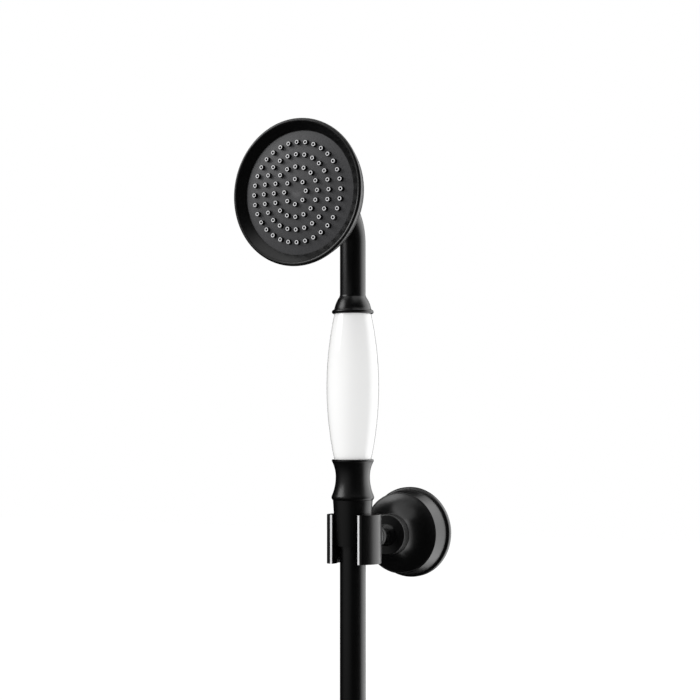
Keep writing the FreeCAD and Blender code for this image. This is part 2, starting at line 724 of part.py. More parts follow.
def clip():
    """The open C-clip: a thick half tube with a taper bore, a boss and two cut faces."""
    body = new_body("clip", (0, -S["reach"], 0))
    outside = new_sketch(body, "outside", "XY_Plane")
    draw_circle(outside, CLIP_RADIUS, 0, S["clip_offset"])
    add_feature(body, "Pad", "barrel", outside, Length=S["clip_height"], Midplane=True)
    doc.recompute()
    boss = new_sketch(body, "boss_circle", "XZ_Plane")
    draw_circle(boss, S["clip_boss_radius"])
    add_feature(body, "Pad", "boss", boss, Length=CLIP_BOSS_END, Reversed=True)
    doc.recompute()

    half = S["clip_height"] / 2 + PAST
    foot = NUT_FOOT_RADIUS - NUT_SLOPE * (half + S["nut_foot"]) + S["fit_gap"]
    top = NUT_FOOT_RADIUS + NUT_SLOPE * (half - S["nut_foot"]) + S["fit_gap"]
    taper = [Corner(0, -half), Corner(foot, -half), Corner(top, half), Corner(0, half)]
    cut_checked(body, turn(body, "bore", taper, kind="Groove"))

    wide = CLIP_RADIUS + PAST
    deep = -CLIP_RADIUS - PAST
    slot = S["hose_radius"] + S["clip_mouth_slack"] / 2
    face = -S["clip_mouth_depth"]
    opening = new_sketch(body, "mouth_outline", "XY_Plane")
    across_and_along = [
        (-slot, 0), (-slot, face), (-wide, face), (-wide, deep),
        (wide, deep), (wide, face), (slot, face), (slot, 0),
    ]
    draw_outline(opening, [Corner(across, along) for across, along in across_and_along])
    mouth = add_feature(body, "Pocket", "mouth", opening, Type="ThroughAll", Midplane=True)
    cut_checked(body, mouth)

    head = S["screw_head_radius"] + S["fit_gap"]
    shank = S["screw_radius"] + S["fit_gap"]
    sunk = SCREW_HEAD_PLACE
    seat = [
        Corner(0, S["hose_radius"]),
        Corner(head, S["hose_radius"]),
        Corner(head, sunk),
        Corner(shank, sunk + head - shank),
        Corner(shank, CLIP_BOSS_END + PAST),
        Corner(0, CLIP_BOSS_END + PAST),
    ]
    cut_checked(body, turn(body, "screw_seat", seat, kind="Groove", plane="XY_Plane"))

    def is_mouth_edge(edge):
        ends = [vertex.Point for vertex in edge.Vertexes]
        upright = len(ends) == 2 and abs(ends[0].z - ends[1].z) > S["clip_height"].value - TINY
        return upright and all(abs(end.y - face.value) < TINY for end in ends)

    round_edges(body, "mouth_edges", S["clip_edge"], is_mouth_edge)
    return body


# ---------------------------------------------------------------------------------------------
# Hose
# ---------------------------------------------------------------------------------------------


def hose_tail():
    """The flanged barb inside the hose's upper end, on which the conical nut turns."""
    foot = TAIL_FOOT - S["tail_barb_length"]
    corners = [
        Corner(S["tail_bore"], foot),
        Corner(S["hose_bore"], foot),
        Corner(S["hose_bore"], TAIL_FOOT),
        Corner(S["pipe_thread_radius"] - S["fit_gap"], TAIL_FOOT),
        Corner(S["pipe_thread_radius"] - S["fit_gap"], TAIL_FOOT + S["tail_flange_thick"]),
        Corner(S["tail_bore"], TAIL_FOOT + S["tail_flange_thick"]),
    ]
    return turned_body("hose_tail", corners, HANDSET)


def hose_sleeve():
    """The thin crimp sleeve round the hose's upper end; it just shows below the nut."""
    foot = S["nut_foot"] - S["sleeve_show"]
    corners = ring(S["hose_radius"], SLEEVE_RADIUS, foot, TAIL_FOOT)
    return turned_body("hose_sleeve", corners, HANDSET)


def hose():
    """The stretch of hose that hangs straight from the conical nut to the coil."""
    foot = COIL_CENTRE[1]
    corners = ring(S["hose_bore"], S["hose_radius"], foot, TAIL_FOOT)
    return turned_body("hose", corners, HANDSET)


def rounded_section(foot, top):
    """The outline of the coil between two places along its axis, with round corners."""
    corner = S["coil_corner"]
    inner = S["coil_radius"] - S["hose_radius"]
    outer = S["coil_radius"] + S["hose_radius"]
    return [
        Corner(inner + corner, foot, corner, -1),
        Corner(outer - corner, foot),
        Corner(outer, foot + corner, corner, -1),
        Corner(outer, top - corner),
        Corner(outer - corner, top, corner, -1),
        Corner(inner + corner, top),
        Corner(inner, top - corner, corner, -1),
        Corner(inner, foot + corner),
    ]


def hose_coil():
    """The put-away coil's outer shape: two full turns, half a turn and the hose's end."""
    body = new_body("hose_coil", COIL_PLACE, FACING_ROOM)
    turn(body, "full_turns", rounded_section(COIL_STEP, COIL_FRONT))
    doc.recompute()
    half_turn = rounded_section(as_size(0), COIL_STEP + S["coil_corner"] * 2)
    turn(body, "half_turn", half_turn, Angle=180.0, Reversed=True)
    doc.recompute()
    end = new_sketch(body, "end_circles", "XZ_Plane")
    for radius in (S["hose_radius"], S["hose_bore"]):
        draw_circle(end, radius, -S["coil_radius"], S["hose_radius"])
    add_feature(body, "Pad", "end", end, Length=S["stub_length"], Reversed=True)
    return body


def coil_tie(label, angle):
    """A strap round the three turns, at an angle below the coil's right-hand side."""
    slack = S["seat_gap"]
    wall = slack + S["tie_wall"]
    inner = S["coil_radius"] - S["hose_radius"]
    outer = S["coil_radius"] + S["hose_radius"]
    rotation = FACING_ROOM.multiply(FreeCAD.Rotation(FreeCAD.Vector(0, 0, 1), angle))
    body = new_body(label, COIL_PLACE, rotation)
    inside = ring(inner - slack, outer + slack, -slack, COIL_FRONT + slack)
    outside = ring(inner - wall, outer + wall, -wall, COIL_FRONT + wall)
    turn(body, "strap", outside, inside, Angle=S["tie_width_angle"], Midplane=True)
    return body


def end_tail():
    """The flanged barb in the hose's far end."""
    length = S["tail_barb_length"]
    flange = S["pipe_thread_radius"] - S["fit_gap"]
    corners = [
        Corner(S["tail_bore"], 0),
        Corner(S["hose_bore"], 0),
        Corner(S["hose_bore"], length),
        Corner(flange, length),
        Corner(flange, length + S["tail_flange_thick"]),
        Corner(S["tail_bore"], length + S["tail_flange_thick"]),
    ]
    return turned_body("end_tail", corners, (*END_AXIS, HOSE_END - length))


def end_sleeve():
    """The crimp sleeve round the hose's far end."""
    length = S["end_sleeve_length"]
    corners = ring(S["hose_radius"], SLEEVE_RADIUS, 0, length)
    return turned_body("end_sleeve", corners, (*END_AXIS, HOSE_END - length))


def end_nut():
    """The hexagonal union nut of the hose's far end."""
    body = new_body("end_nut", (*END_AXIS, HOSE_END - S["end_nut_skirt"]))
    flat = S["end_nut_flats"] / 2
    corner = S["end_nut_flats"] / root(as_size(3))
    hexagon = new_sketch(body, "hexagon", "XY_Plane")
    places = [
        (corner, 0), (corner / 2, flat), (-corner / 2, flat),
        (-corner, 0), (-corner / 2, -flat), (corner / 2, -flat),
    ]
    draw_outline(hexagon, [Corner(across, along) for across, along in places])
    add_feature(body, "Pad", "bar", hexagon, Length=S["end_nut_length"])
    doc.recompute()
    shoulder = S["end_nut_skirt"] - S["fit_gap"]
    flange = S["end_nut_skirt"] + S["tail_flange_thick"] + S["fit_gap"]
    thread = flange + S["union_washer_thick"] + S["seat_gap"]
    relief = S["pipe_thread_radius"] + S["thread_relief"]
    past = S["end_nut_length"] + PAST
    bore = [
        Corner(0, -PAST),
        Corner(SLEEVE_BORE, -PAST),
        Corner(SLEEVE_BORE, shoulder),
        Corner(relief, shoulder),
        Corner(relief, thread),
        Corner(S["pipe_thread_radius"], thread),
        Corner(S["pipe_thread_radius"], past),
        Corner(0, past),
    ]
    cut_checked(body, turn(body, "bore", bore, kind="Groove"))
    return body


def end_washer():
    """The rubber washer inside the far end's nut."""
    foot = HOSE_END + S["tail_flange_thick"] + S["fit_gap"]
    corners = ring(S["union_washer_bore"], S["pipe_thread_radius"], 0, S["union_washer_thick"])
    return turned_body("end_washer", corners, (*END_AXIS, foot))


# ---------------------------------------------------------------------------------------------
# Handset, from the conical nut up to the neck
# ---------------------------------------------------------------------------------------------


def hose_nut():
    """The conical union nut that stands in the clip."""
    corners = [
        Corner(SLEEVE_BORE, S["nut_foot"]),
        Corner(NUT_FOOT_RADIUS, S["nut_foot"]),
        Corner(NUT_TOP_RADIUS, NUT_TOP),
        Corner(S["pipe_thread_radius"], NUT_TOP),
        Corner(S["pipe_thread_radius"], NUT_SHOULDER),
        Corner(SLEEVE_BORE, NUT_SHOULDER),
    ]
    return turned_body("hose_nut", corners, HANDSET)


def filter_washer():
    """The rubber washer between the hose and the handset."""
    corners = ring(S["union_washer_bore"], S["pipe_thread_radius"], UNION_WASHER_FOOT, THREAD_FOOT)
    return turned_body("filter_washer", corners, HANDSET)


def lower_ferrule():
    """The waisted metal foot of the handle, with the threaded end below it."""
    joint = S["pipe_thread_length"]
    bead_top = joint + S["ferrule_bead_height"]
    waist = joint + S["ferrule_waist_height"]
    top = joint + S["ferrule_length"]
    lip = top - S["ferrule_lip_height"]
    handle = HANDLE_FOOT - THREAD_FOOT
    washer = handle - S["handle_washer_thick"]
    seal = washer - S["tube_seal_radius"] * 2
    seal_radius = TIE_TUBE_RADIUS + S["tube_seal_radius"] * 2
    tube = TIE_TUBE_FOOT - THREAD_FOOT
    lower, upper = S["ferrule_lower_curve"], S["ferrule_upper_curve"]
    flare = S["ferrule_waist_radius"] + sag(lower, waist - bead_top)
    mouth = S["ferrule_waist_radius"] + sag(upper, lip - waist)
    lip_radius = CUP_RADIUS + S["ferrule_lip_wall"]
    edge = S["ferrule_lip_edge"]
    corners = [
        Corner(LIMITER_RADIUS, 0),
        Corner(S["pipe_thread_radius"], 0),
        Corner(S["pipe_thread_radius"], joint),
        Corner(NUT_TOP_RADIUS, joint),
        Corner(flare, bead_top, S["ferrule_bead_curve"], -1),
        Corner(S["ferrule_waist_radius"], waist, lower, 1),
        Corner(mouth, lip, upper, 1),
        Corner(lip_radius, lip + edge),
        Corner(lip_radius, top - edge),
        Corner(lip_radius - edge, top),
        Corner(CUP_RADIUS, top),
        Corner(CUP_RADIUS, handle),
        Corner(WASHER_RADIUS, handle),
        Corner(WASHER_RADIUS, washer),
        Corner(seal_radius, washer),
        Corner(seal_radius, seal),
        Corner(TIE_TUBE_RADIUS, seal),
        Corner(TIE_TUBE_RADIUS, tube),
        Corner(S["water_bore"], tube),
        Corner(S["water_bore"], S["limiter_length"]),
        Corner(LIMITER_RADIUS, S["limiter_length"]),
    ]
    return turned_body("lower_ferrule", corners, (*HANDSET, THREAD_FOOT))


def flow_limiter():
    """The plastic flow limiter pressed into the threaded end."""
    outer = LIMITER_RADIUS
    top = S["limiter_length"] - S["limiter_setback"]
    corners = ring(outer - S["limiter_wall"], outer, 0, top)
    return turned_body("flow_limiter", corners, (*HANDSET, THREAD_FOOT))


def handle_washer(label, foot):
    """A fibre washer between the ceramic and a metal cup."""
    inner = TIE_TUBE_RADIUS + S["seat_gap"]
    corners = ring(inner, WASHER_RADIUS, 0, S["handle_washer_thick"])
    return turned_body(label, corners, (*HANDSET, foot))


def ceramic_handle():
    """The barrel-shaped ceramic grip."""
    bore = TIE_TUBE_RADIUS + S["handle_bore_slack"]
    corners = [
        Corner(bore, 0),
        Corner(S["handle_end_radius"], 0),
        Corner(S["handle_end_radius"], S["handle_length"], HANDLE_CURVE, -1),
        Corner(bore, S["handle_length"]),
    ]
    return turned_body("ceramic_handle", corners, (*HANDSET, HANDLE_FOOT))


def tie_tube():
    """The threaded tube that pulls ferrule and collar together and carries the water."""
    corners = ring(S["water_bore"], TIE_TUBE_RADIUS, 0, TIE_TUBE_TOP - TIE_TUBE_FOOT)
    return turned_body("tie_tube", corners, (*HANDSET, TIE_TUBE_FOOT))


def seal_torus(name, ring_radius, section, base, rotation=None):
    """A rubber O-ring as a torus primitive."""
    torus = doc.addObject("Part::Torus", name)
    torus.Placement = FreeCAD.Placement(FreeCAD.Vector(), rotation or FreeCAD.Rotation())
    torus.setExpression("Radius1", ring_radius.text)
    torus.setExpression("Radius2", section.text)
    for letter, size in zip("xyz", base):
        torus.setExpression(f"Placement.Base.{letter}", as_size(size).text)
    return torus


def tube_seals():
    """The two O-rings round the tie tube, one in each metal cup."""
    section = S["tube_seal_radius"]
    ring_radius = TIE_TUBE_RADIUS + section
    lower = HANDLE_FOOT - S["handle_washer_thick"] - section
    upper = COLLAR_FLOOR + section
    rings = doc.addObject("Part::Compound", "tube_seals")
    rings.Links = [
        seal_torus("lower_tube_seal", ring_radius, section, (*HANDSET, lower)),
        seal_torus("upper_tube_seal", ring_radius, section, (*HANDSET, upper)),
    ]
    return rings


def upper_collar():
    """The bell-shaped metal collar between the ceramic and the neck."""
    floor = COLLAR_FLOOR - COLLAR_FOOT
    neck = NECK_FOOT - COLLAR_FOOT
    bead = S["collar_bead_height"]
    bead_curve = bulge_radius(bead / 2, S["collar_bead_bulge"])
    base = COLLAR_BASE_RADIUS
    seal_radius = TIE_TUBE_RADIUS + S["tube_seal_radius"] * 2
    lip = S["collar_length"] - S["collar_lip"]
    corners = [
        Corner(CUP_RADIUS, 0),
        Corner(base, 0),
        Corner(base, bead, bead_curve, -1),
        Corner(base - S["collar_step"], bead + S["collar_step_height"]),
        Corner(NECK_RADIUS + S["collar_step"], lip, S["collar_curve"], -1),
        Corner(NECK_RADIUS + S["collar_lip_wall"], S["collar_length"]),
        Corner(NECK_RADIUS, S["collar_length"]),
        Corner(NECK_RADIUS, neck),
        Corner(seal_radius, neck),
        Corner(seal_radius, floor),
        Corner(WASHER_RADIUS, floor),
        Corner(WASHER_RADIUS, S["handle_sunk"]),
        Corner(CUP_RADIUS, S["handle_sunk"]),
    ]
    return turned_body("upper_collar", corners, (*HANDSET, COLLAR_FOOT))


def neck_tube():
    """The bent tube from the collar to the head's hub."""
    body = new_body("neck_tube", (*HANDSET, NECK_FOOT))
    section = new_sketch(body, "section", "XY_Plane")
    for radius in (NECK_RADIUS, TIE_TUBE_RADIUS):
        draw_circle(section, radius)
    path = new_sketch(body, "path", "YZ_Plane")
    bend = S["neck_bend_radius"]
    rise = HEAD_HEIGHT - NECK_FOOT - bend
    stops = [(0, 0), (0, rise), (-bend, rise + bend), (-S["neck_reach"], rise + bend)]
    draw_path(path, [Corner(across, along) for across, along in stops], bend)
    pipe = body.newObject("PartDesign::AdditivePipe", "neck_tube_pipe")
    pipe.Profile = section
    pipe.Spine = (path, [""])
    return body


def draw_path(sketch, stops, bend):
    """Draws a run, a left-hand bend and a second run through four stops."""
    points = [stop.point() for stop in stops]
    first = sketch.addGeometry(Part.LineSegment(points[0], points[1]), False)
    middle = arc_middle(points[1], points[2], bend.value, -1)
    arc = sketch.addGeometry(Part.Arc(points[1], middle, points[2]), False)
    last = sketch.addGeometry(Part.LineSegment(points[2], points[3]), False)
    arc_start = 1 if sketch.getPoint(arc, 1).distanceToPoint(points[1]) < 1e-6 else 2
    sketch.addConstraint(Sketcher.Constraint("Coincident", first, 2, arc, arc_start))
    sketch.addConstraint(Sketcher.Constraint("Coincident", arc, 3 - arc_start, last, 1))
    places = ((first, 1), (first, 2), (last, 1), (last, 2))
    for (edge, position), stop in zip(places, stops):
        pin_point(sketch, edge, position, stop.across, stop.along)
    bind(sketch, "Radius", arc, size=bend)


# ---------------------------------------------------------------------------------------------
# Head
# ---------------------------------------------------------------------------------------------


def bowl_across(curve, along):
    """Radius of the bowl's outer or inner curve at a place along the head."""
    return BOWL_CENTRE_ACROSS + leg(curve, S["bowl_centre_along"] - along)


def bowl_along(curve, across):
    """Place along the head where the bowl's curve has this radius."""
    return S["bowl_centre_along"] - leg(curve, across - BOWL_CENTRE_ACROSS)


def head_shell():
    """The bowl behind the spray face, with its hub on the neck."""
    outer = S["bowl_curve"]
    inner = outer - S["bowl_wall"]
    front = S["bowl_front"]
    skirt_foot = front - S["ring_skirt_length"]
    ledge_back = LEDGE_FRONT - S["head_ledge_thick"]
    bore = TIE_TUBE_RADIUS
    corners = [
        Corner(NECK_RADIUS, S["hub_back"]),
        Corner(HEAD_HUB_RADIUS, S["hub_back"]),
        Corner(HEAD_HUB_RADIUS, bowl_along(outer, HEAD_HUB_RADIUS)),
        Corner(bowl_across(outer, front), front, outer, -1),
        Corner(SKIRT_RADIUS, front),
        Corner(SKIRT_RADIUS, skirt_foot),
        Corner(MAT_RADIUS + S["seat_gap"], skirt_foot),
        Corner(MAT_RADIUS + S["seat_gap"], LEDGE_FRONT),
        Corner(HEAD_LEDGE_RADIUS, LEDGE_FRONT),
        Corner(HEAD_LEDGE_RADIUS, ledge_back),
        Corner(bowl_across(inner, ledge_back), ledge_back),
        Corner(bore, bowl_along(inner, bore), inner, 1),
        Corner(bore, S["neck_reach"]),
        Corner(NECK_RADIUS, S["neck_reach"]),
    ]
    return turned_body("head_shell", corners, HEAD, FACING_ROOM)


def face_ring():
    """The screwed rim that holds the spray plate, with a rounded lip."""
    bore = PLATE_RADIUS + S["fit_gap"]
    foot = S["bowl_front"] - S["ring_skirt_length"] + S["seat_gap"]
    back = S["bowl_front"] + S["fit_gap"]
    plate = S["face_apex"] - sag(S["face_curve"], S["face_radius"]) + S["fit_gap"]
    edge = S["rim_edge"]
    lip = S["rim_curve"]
    start = bowl_across(S["bowl_curve"], S["bowl_front"])
    swell = RIM_RADIUS - start
    rise = edge - back
    swell_curve = bulge_radius(rise, swell)
    corners = [
        Corner(bore, foot),
        Corner(SKIRT_RADIUS, foot),
        Corner(SKIRT_RADIUS, back),
        Corner(start, back),
        Corner(RIM_RADIUS, edge, swell_curve, -1),
        Corner(RIM_RADIUS - lip, edge + lip, lip, -1),
        Corner(RIM_RADIUS - lip * 2, edge + lip / 2, lip, -1),
        Corner(S["face_radius"], plate + S["rim_inner_step"]),
        Corner(S["face_radius"], plate),
        Corner(bore, plate),
    ]
    return turned_body("face_ring", corners, HEAD, FACING_ROOM)


def domed_disc(label, back, front, radius):
    """A disc that follows the spray face's dome between two places along the head."""
    drop = sag(S["face_curve"], radius)
    corners = [
        Corner(0, back),
        Corner(radius, back - drop, S["face_curve"], 1),
        Corner(radius, front - drop),
        Corner(0, front, S["face_curve"], -1),
    ]
    return turned_body(label, corners, HEAD, FACING_ROOM)


def perforate(body, radius):
    """Drills one hole behind every nozzle, ring by ring."""
    for ring_number in range(1, NOZZLE_RINGS + 1):
        place = NOZZLE_SPACING * ring_number
        hole = [(radius, 0, place)]
        name = f"holes_{ring_number}"
        feature = drill(body, name, "XY_Plane", hole, Type="ThroughAll", Reversed=True)
        repeat_round(body, feature, NOZZLES_PER_RING * ring_number)


def spray_plate():
    """The domed metal face with its round holes."""
    body = domed_disc("spray_plate", PLATE_BACK, S["face_apex"], PLATE_RADIUS)
    perforate(body, S["nozzle_base"] + S["fit_gap"])
    return body


def nozzle_mat():
    """The silicone mat whose nozzles stand through the spray plate."""
    body = domed_disc("nozzle_mat", MAT_BACK, PLATE_BACK, MAT_RADIUS)
    root_depth = S["mat_thick"] / 2
    for ring_number in range(1, NOZZLE_RINGS + 1):
        place = NOZZLE_SPACING * ring_number
        cone = body.newObject("PartDesign::AdditiveCone", f"nozzle_{ring_number}")
        cone.AttachmentSupport = (origin_feature(body, "XY_Plane"), [""])
        cone.MapMode = "FlatFace"
        foot = PLATE_BACK - sag(S["face_curve"], place) - root_depth
        height = root_depth + S["plate_thick"] + S["nozzle_height"]
        cone.setExpression("Radius1", S["nozzle_base"].text)
        cone.setExpression("Radius2", S["nozzle_tip"].text)
        cone.setExpression("Height", height.text)
        cone.setExpression("AttachmentOffset.Base.y", place.text)
        cone.setExpression("AttachmentOffset.Base.z", foot.text)
        doc.recompute()
        repeat_round(body, cone, NOZZLES_PER_RING * ring_number)
    perforate(body, S["nozzle_hole"])
    return body


def mat_retainer():
    """The plastic plate that backs the mat and feeds every nozzle."""
    body = domed_disc("mat_retainer", RETAINER_BACK, MAT_BACK, MAT_RADIUS)
    perforate(body, S["retainer_hole"])
    return body


def head_seal():
    """The O-ring between the retainer and the bowl's ledge."""
    base = (0, -S["reach"] - SEAL_PLACE, HEAD_HEIGHT)
    return seal_torus("head_seal", HEAD_SEAL_RING, S["head_seal_radius"], base, FACING_ROOM)


# ---------------------------------------------------------------------------------------------
# Build, check and write
# ---------------------------------------------------------------------------------------------


def build():
    """Makes every piece; each returned object's label is its node and file name."""
    return [
        wall_plate(),
        wall_flange(),
        grub_screw(),
        seat_spring(),
        seat_ring(),
        lock_nut(),
        ball_seat(),
        ball_stud(),
        clip_washer(),
        clip_screw(),
        clip(),
        hose_tail(),
        hose_sleeve(),
        hose(),
        hose_coil(),
        coil_tie("coil_tie_right", -45),
        coil_tie("coil_tie_left", -135),
        end_tail(),
        end_sleeve(),
        end_nut(),
        end_washer(),
        hose_nut(),
        filter_washer(),
        lower_ferrule(),
        flow_limiter(),
        handle_washer("lower_handle_washer", HANDLE_FOOT - S["handle_washer_thick"]),
        ceramic_handle(),
        handle_washer("upper_handle_washer", HANDLE_TOP),
        tie_tube(),
        tube_seals(),
        upper_collar(),
        neck_tube(),
        head_shell(),
        face_ring(),
        spray_plate(),
        nozzle_mat(),
        mat_retainer(),
        head_seal(),
    ]


def check(pieces):
    """Stops before anything is written if an object failed or a shape is unusable."""
    for item in doc.Objects:
        if {"Invalid", "Error"} & set(item.State):
            raise RuntimeError(f"{item.Label} is {item.State}")
    for piece in pieces:
        if piece.Shape.isNull() or not piece.Shape.isValid() or not piece.Shape.Solids:
            raise RuntimeError(f"{piece.Label} has no sound solid")


def check_hose(pieces):
    """Compares the straight hose with its section times its length, and prints its radii."""
    hose_shape = next(piece.Shape for piece in pieces if piece.Label == "hose")
    section = math.pi * (S["hose_radius"].value ** 2 - S["hose_bore"].value ** 2)
    length = (TAIL_FOOT - COIL_CENTRE[1]).value
    if abs(hose_shape.Volume / (section * length) - 1) > TINY:
        raise RuntimeError("the hose's volume isn't its section times its length")
    turns = COIL_TURNS * 2 * math.pi * S["coil_radius"].value
    print(f"hose: straight {length:.1f} mm, coil radius {S['coil_radius'].value:.1f} mm,")
    print(f"hose: {length + turns + S['stub_length'].value:.0f} mm in all")


def write(pieces):
    """Exports each piece to parts/LABEL.step."""
    os.makedirs("parts", exist_ok=True)
    for piece in pieces:
        piece.Shape.exportStep(f"parts/{piece.Label}.step")
    print(f"{len(pieces)} nodes written")


pieces = build()
doc.recompute()
check(pieces)
check_hose(pieces)
write(pieces)
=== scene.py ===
"""Shower handset on its wall bracket: the finishes and the detailed pieces round the frame.

Lengths are metres in the row frame: +Y points into the wall, -Y into the room and +Z up.
The handset's axis stands upright in front of the wall, and the spray face looks along -Y.
"""

from __future__ import annotations

import logging
import math
from dataclasses import dataclass, field
from enum import Enum
from typing import Iterable, Mapping, Sequence

import bmesh
import bpy
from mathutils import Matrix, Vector

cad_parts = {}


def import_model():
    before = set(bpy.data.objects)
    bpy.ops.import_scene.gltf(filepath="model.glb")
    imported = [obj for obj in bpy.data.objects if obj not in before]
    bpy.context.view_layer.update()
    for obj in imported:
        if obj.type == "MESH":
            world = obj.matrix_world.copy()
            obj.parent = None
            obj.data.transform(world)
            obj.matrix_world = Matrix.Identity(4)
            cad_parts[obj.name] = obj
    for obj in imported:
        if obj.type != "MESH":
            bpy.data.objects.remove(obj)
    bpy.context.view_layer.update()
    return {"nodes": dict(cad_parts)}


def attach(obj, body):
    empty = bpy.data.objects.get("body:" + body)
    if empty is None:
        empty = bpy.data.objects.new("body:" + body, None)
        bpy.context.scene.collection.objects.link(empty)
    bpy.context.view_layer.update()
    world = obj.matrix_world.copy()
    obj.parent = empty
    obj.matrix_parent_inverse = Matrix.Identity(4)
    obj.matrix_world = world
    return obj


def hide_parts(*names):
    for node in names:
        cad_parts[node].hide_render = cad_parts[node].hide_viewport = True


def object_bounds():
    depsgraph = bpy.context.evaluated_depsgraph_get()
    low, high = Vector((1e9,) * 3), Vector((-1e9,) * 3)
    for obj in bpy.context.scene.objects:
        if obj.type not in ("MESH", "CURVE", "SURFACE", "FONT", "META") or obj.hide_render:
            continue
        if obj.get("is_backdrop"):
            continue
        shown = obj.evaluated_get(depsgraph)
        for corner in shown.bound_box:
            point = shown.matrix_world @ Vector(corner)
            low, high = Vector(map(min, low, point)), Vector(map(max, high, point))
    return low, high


LOG = logging.getLogger("shower_set")
MM = 0.001
MIDDLE = 0.5  # of a pattern that runs from 0 to 1
MERGE = 1e-7  # points nearer than this become one
Colour = tuple[float, float, float]


class Body(Enum):
    """The moving bodies that pieces made here ride on."""

    HOSE = "hose"
    END_NUT = "end_nut"
    HANDSET = "handset"


class Slot(Enum):
    """The record's material slots."""

    BLACK_COAT = "black_coat"
    BLACK_PLATE = "black_plate"
    CERAMIC = "ceramic"
    NOZZLES = "silicone_nozzles"
    HOSE_SKIN = "hose_skin"
    RUBBER = "rubber_black"
    FIBRE = "fibre"
    NYLON = "nylon"
    BRASS = "bare_brass"
    STEEL = "steel"
    PLASTIC = "plastic_grey"
    TIE = "tie"


# ---------------------------------------------------------------------------------------------
# Node graphs written as expressions
# ---------------------------------------------------------------------------------------------


@dataclass(frozen=True)
class Signal:
    """An output socket that takes part in arithmetic by adding Math nodes."""

    graph: "Graph"
    socket: bpy.types.NodeSocket

    def __add__(self, other: "Signal | float") -> "Signal":
        """This plus other."""
        return self.graph.math("ADD", self, other)

    def __radd__(self, other: float) -> "Signal":
        """other plus this."""
        return self.graph.math("ADD", other, self)

    def __sub__(self, other: "Signal | float") -> "Signal":
        """This minus other."""
        return self.graph.math("SUBTRACT", self, other)

    def __rsub__(self, other: float) -> "Signal":
        """other minus this."""
        return self.graph.math("SUBTRACT", other, self)

    def __mul__(self, other: "Signal | float") -> "Signal":
        """This times other."""
        return self.graph.math("MULTIPLY", self, other)

    def __rmul__(self, other: float) -> "Signal":
        """other times this."""
        return self.graph.math("MULTIPLY", other, self)


class Graph:
    """A node tree that is filled by one generic method and by expressions."""

    def __init__(self, tree: bpy.types.NodeTree) -> None:
        """Starts with an empty tree."""
        self.tree = tree
        self.tree.nodes.clear()

    def node(
        self,
        kind: str,
        settings: Mapping[str, object] | None = None,
        inputs: Mapping[str | int, object] | None = None,
        output: str | int = 0,
    ) -> Signal:
        """Adds one node.

        Args:
            kind: The node's type.
            settings: Its properties, set first.
            inputs: Values or signals by input name or number.
            output: The output that is returned.

        Returns:
            The chosen output.
        """
        made = self.tree.nodes.new(kind)
        for key, value in (settings or {}).items():
            setattr(made, key, value)
        for key, value in (inputs or {}).items():
            self.plug(made.inputs[key], value)
        return Signal(self, made.outputs[output] if len(made.outputs) else None)

    def plug(self, socket: bpy.types.NodeSocket, value: object) -> None:
        """Links a signal to an input, or sets the input's value."""
        if isinstance(value, Signal):
            self.tree.links.new(value.socket, socket)
        elif isinstance(value, tuple) and socket.type == "RGBA" and len(value) == 3:
            socket.default_value = (*value, 1.0)
        else:
            socket.default_value = value

    def math(self, operation: str, *values: "Signal | float", clamp: bool = False) -> Signal:
        """One Math node."""
        settings = {"operation": operation, "use_clamp": clamp}
        return self.node("ShaderNodeMath", settings, dict(enumerate(values)))

    def vector(self, operation: str, *values: object, output: str = "Vector") -> Signal:
        """One Vector Math node."""
        inputs = dict(enumerate(values))
        if operation == "SCALE":
            inputs = {0: values[0], "Scale": values[1]}
        return self.node("ShaderNodeVectorMath", {"operation": operation}, inputs, output)

    def split(self, vector: Signal) -> tuple[Signal, Signal, Signal]:
        """A vector's three numbers."""
        parts = self.node("ShaderNodeSeparateXYZ", inputs={0: vector}).socket.node
        return tuple(Signal(self, socket) for socket in parts.outputs)

    def join(self, x: object, y: object, z: object) -> Signal:
        """A vector from three numbers."""
        return self.node("ShaderNodeCombineXYZ", inputs={0: x, 1: y, 2: z})

    def blend(self, factor: object, first: object, second: object) -> Signal:
        """A colour between two colours."""
        settings = {"data_type": "RGBA"}
        return self.node("ShaderNodeMix", settings, {0: factor, 6: first, 7: second}, 2)

    def step(self, value: Signal, low: float, high: float) -> Signal:
        """0 below low, 1 above high and smooth between."""
        settings = {"interpolation_type": "SMOOTHSTEP"}
        inputs = {"Value": value, "From Min": low, "From Max": high}
        return self.node("ShaderNodeMapRange", settings, inputs)


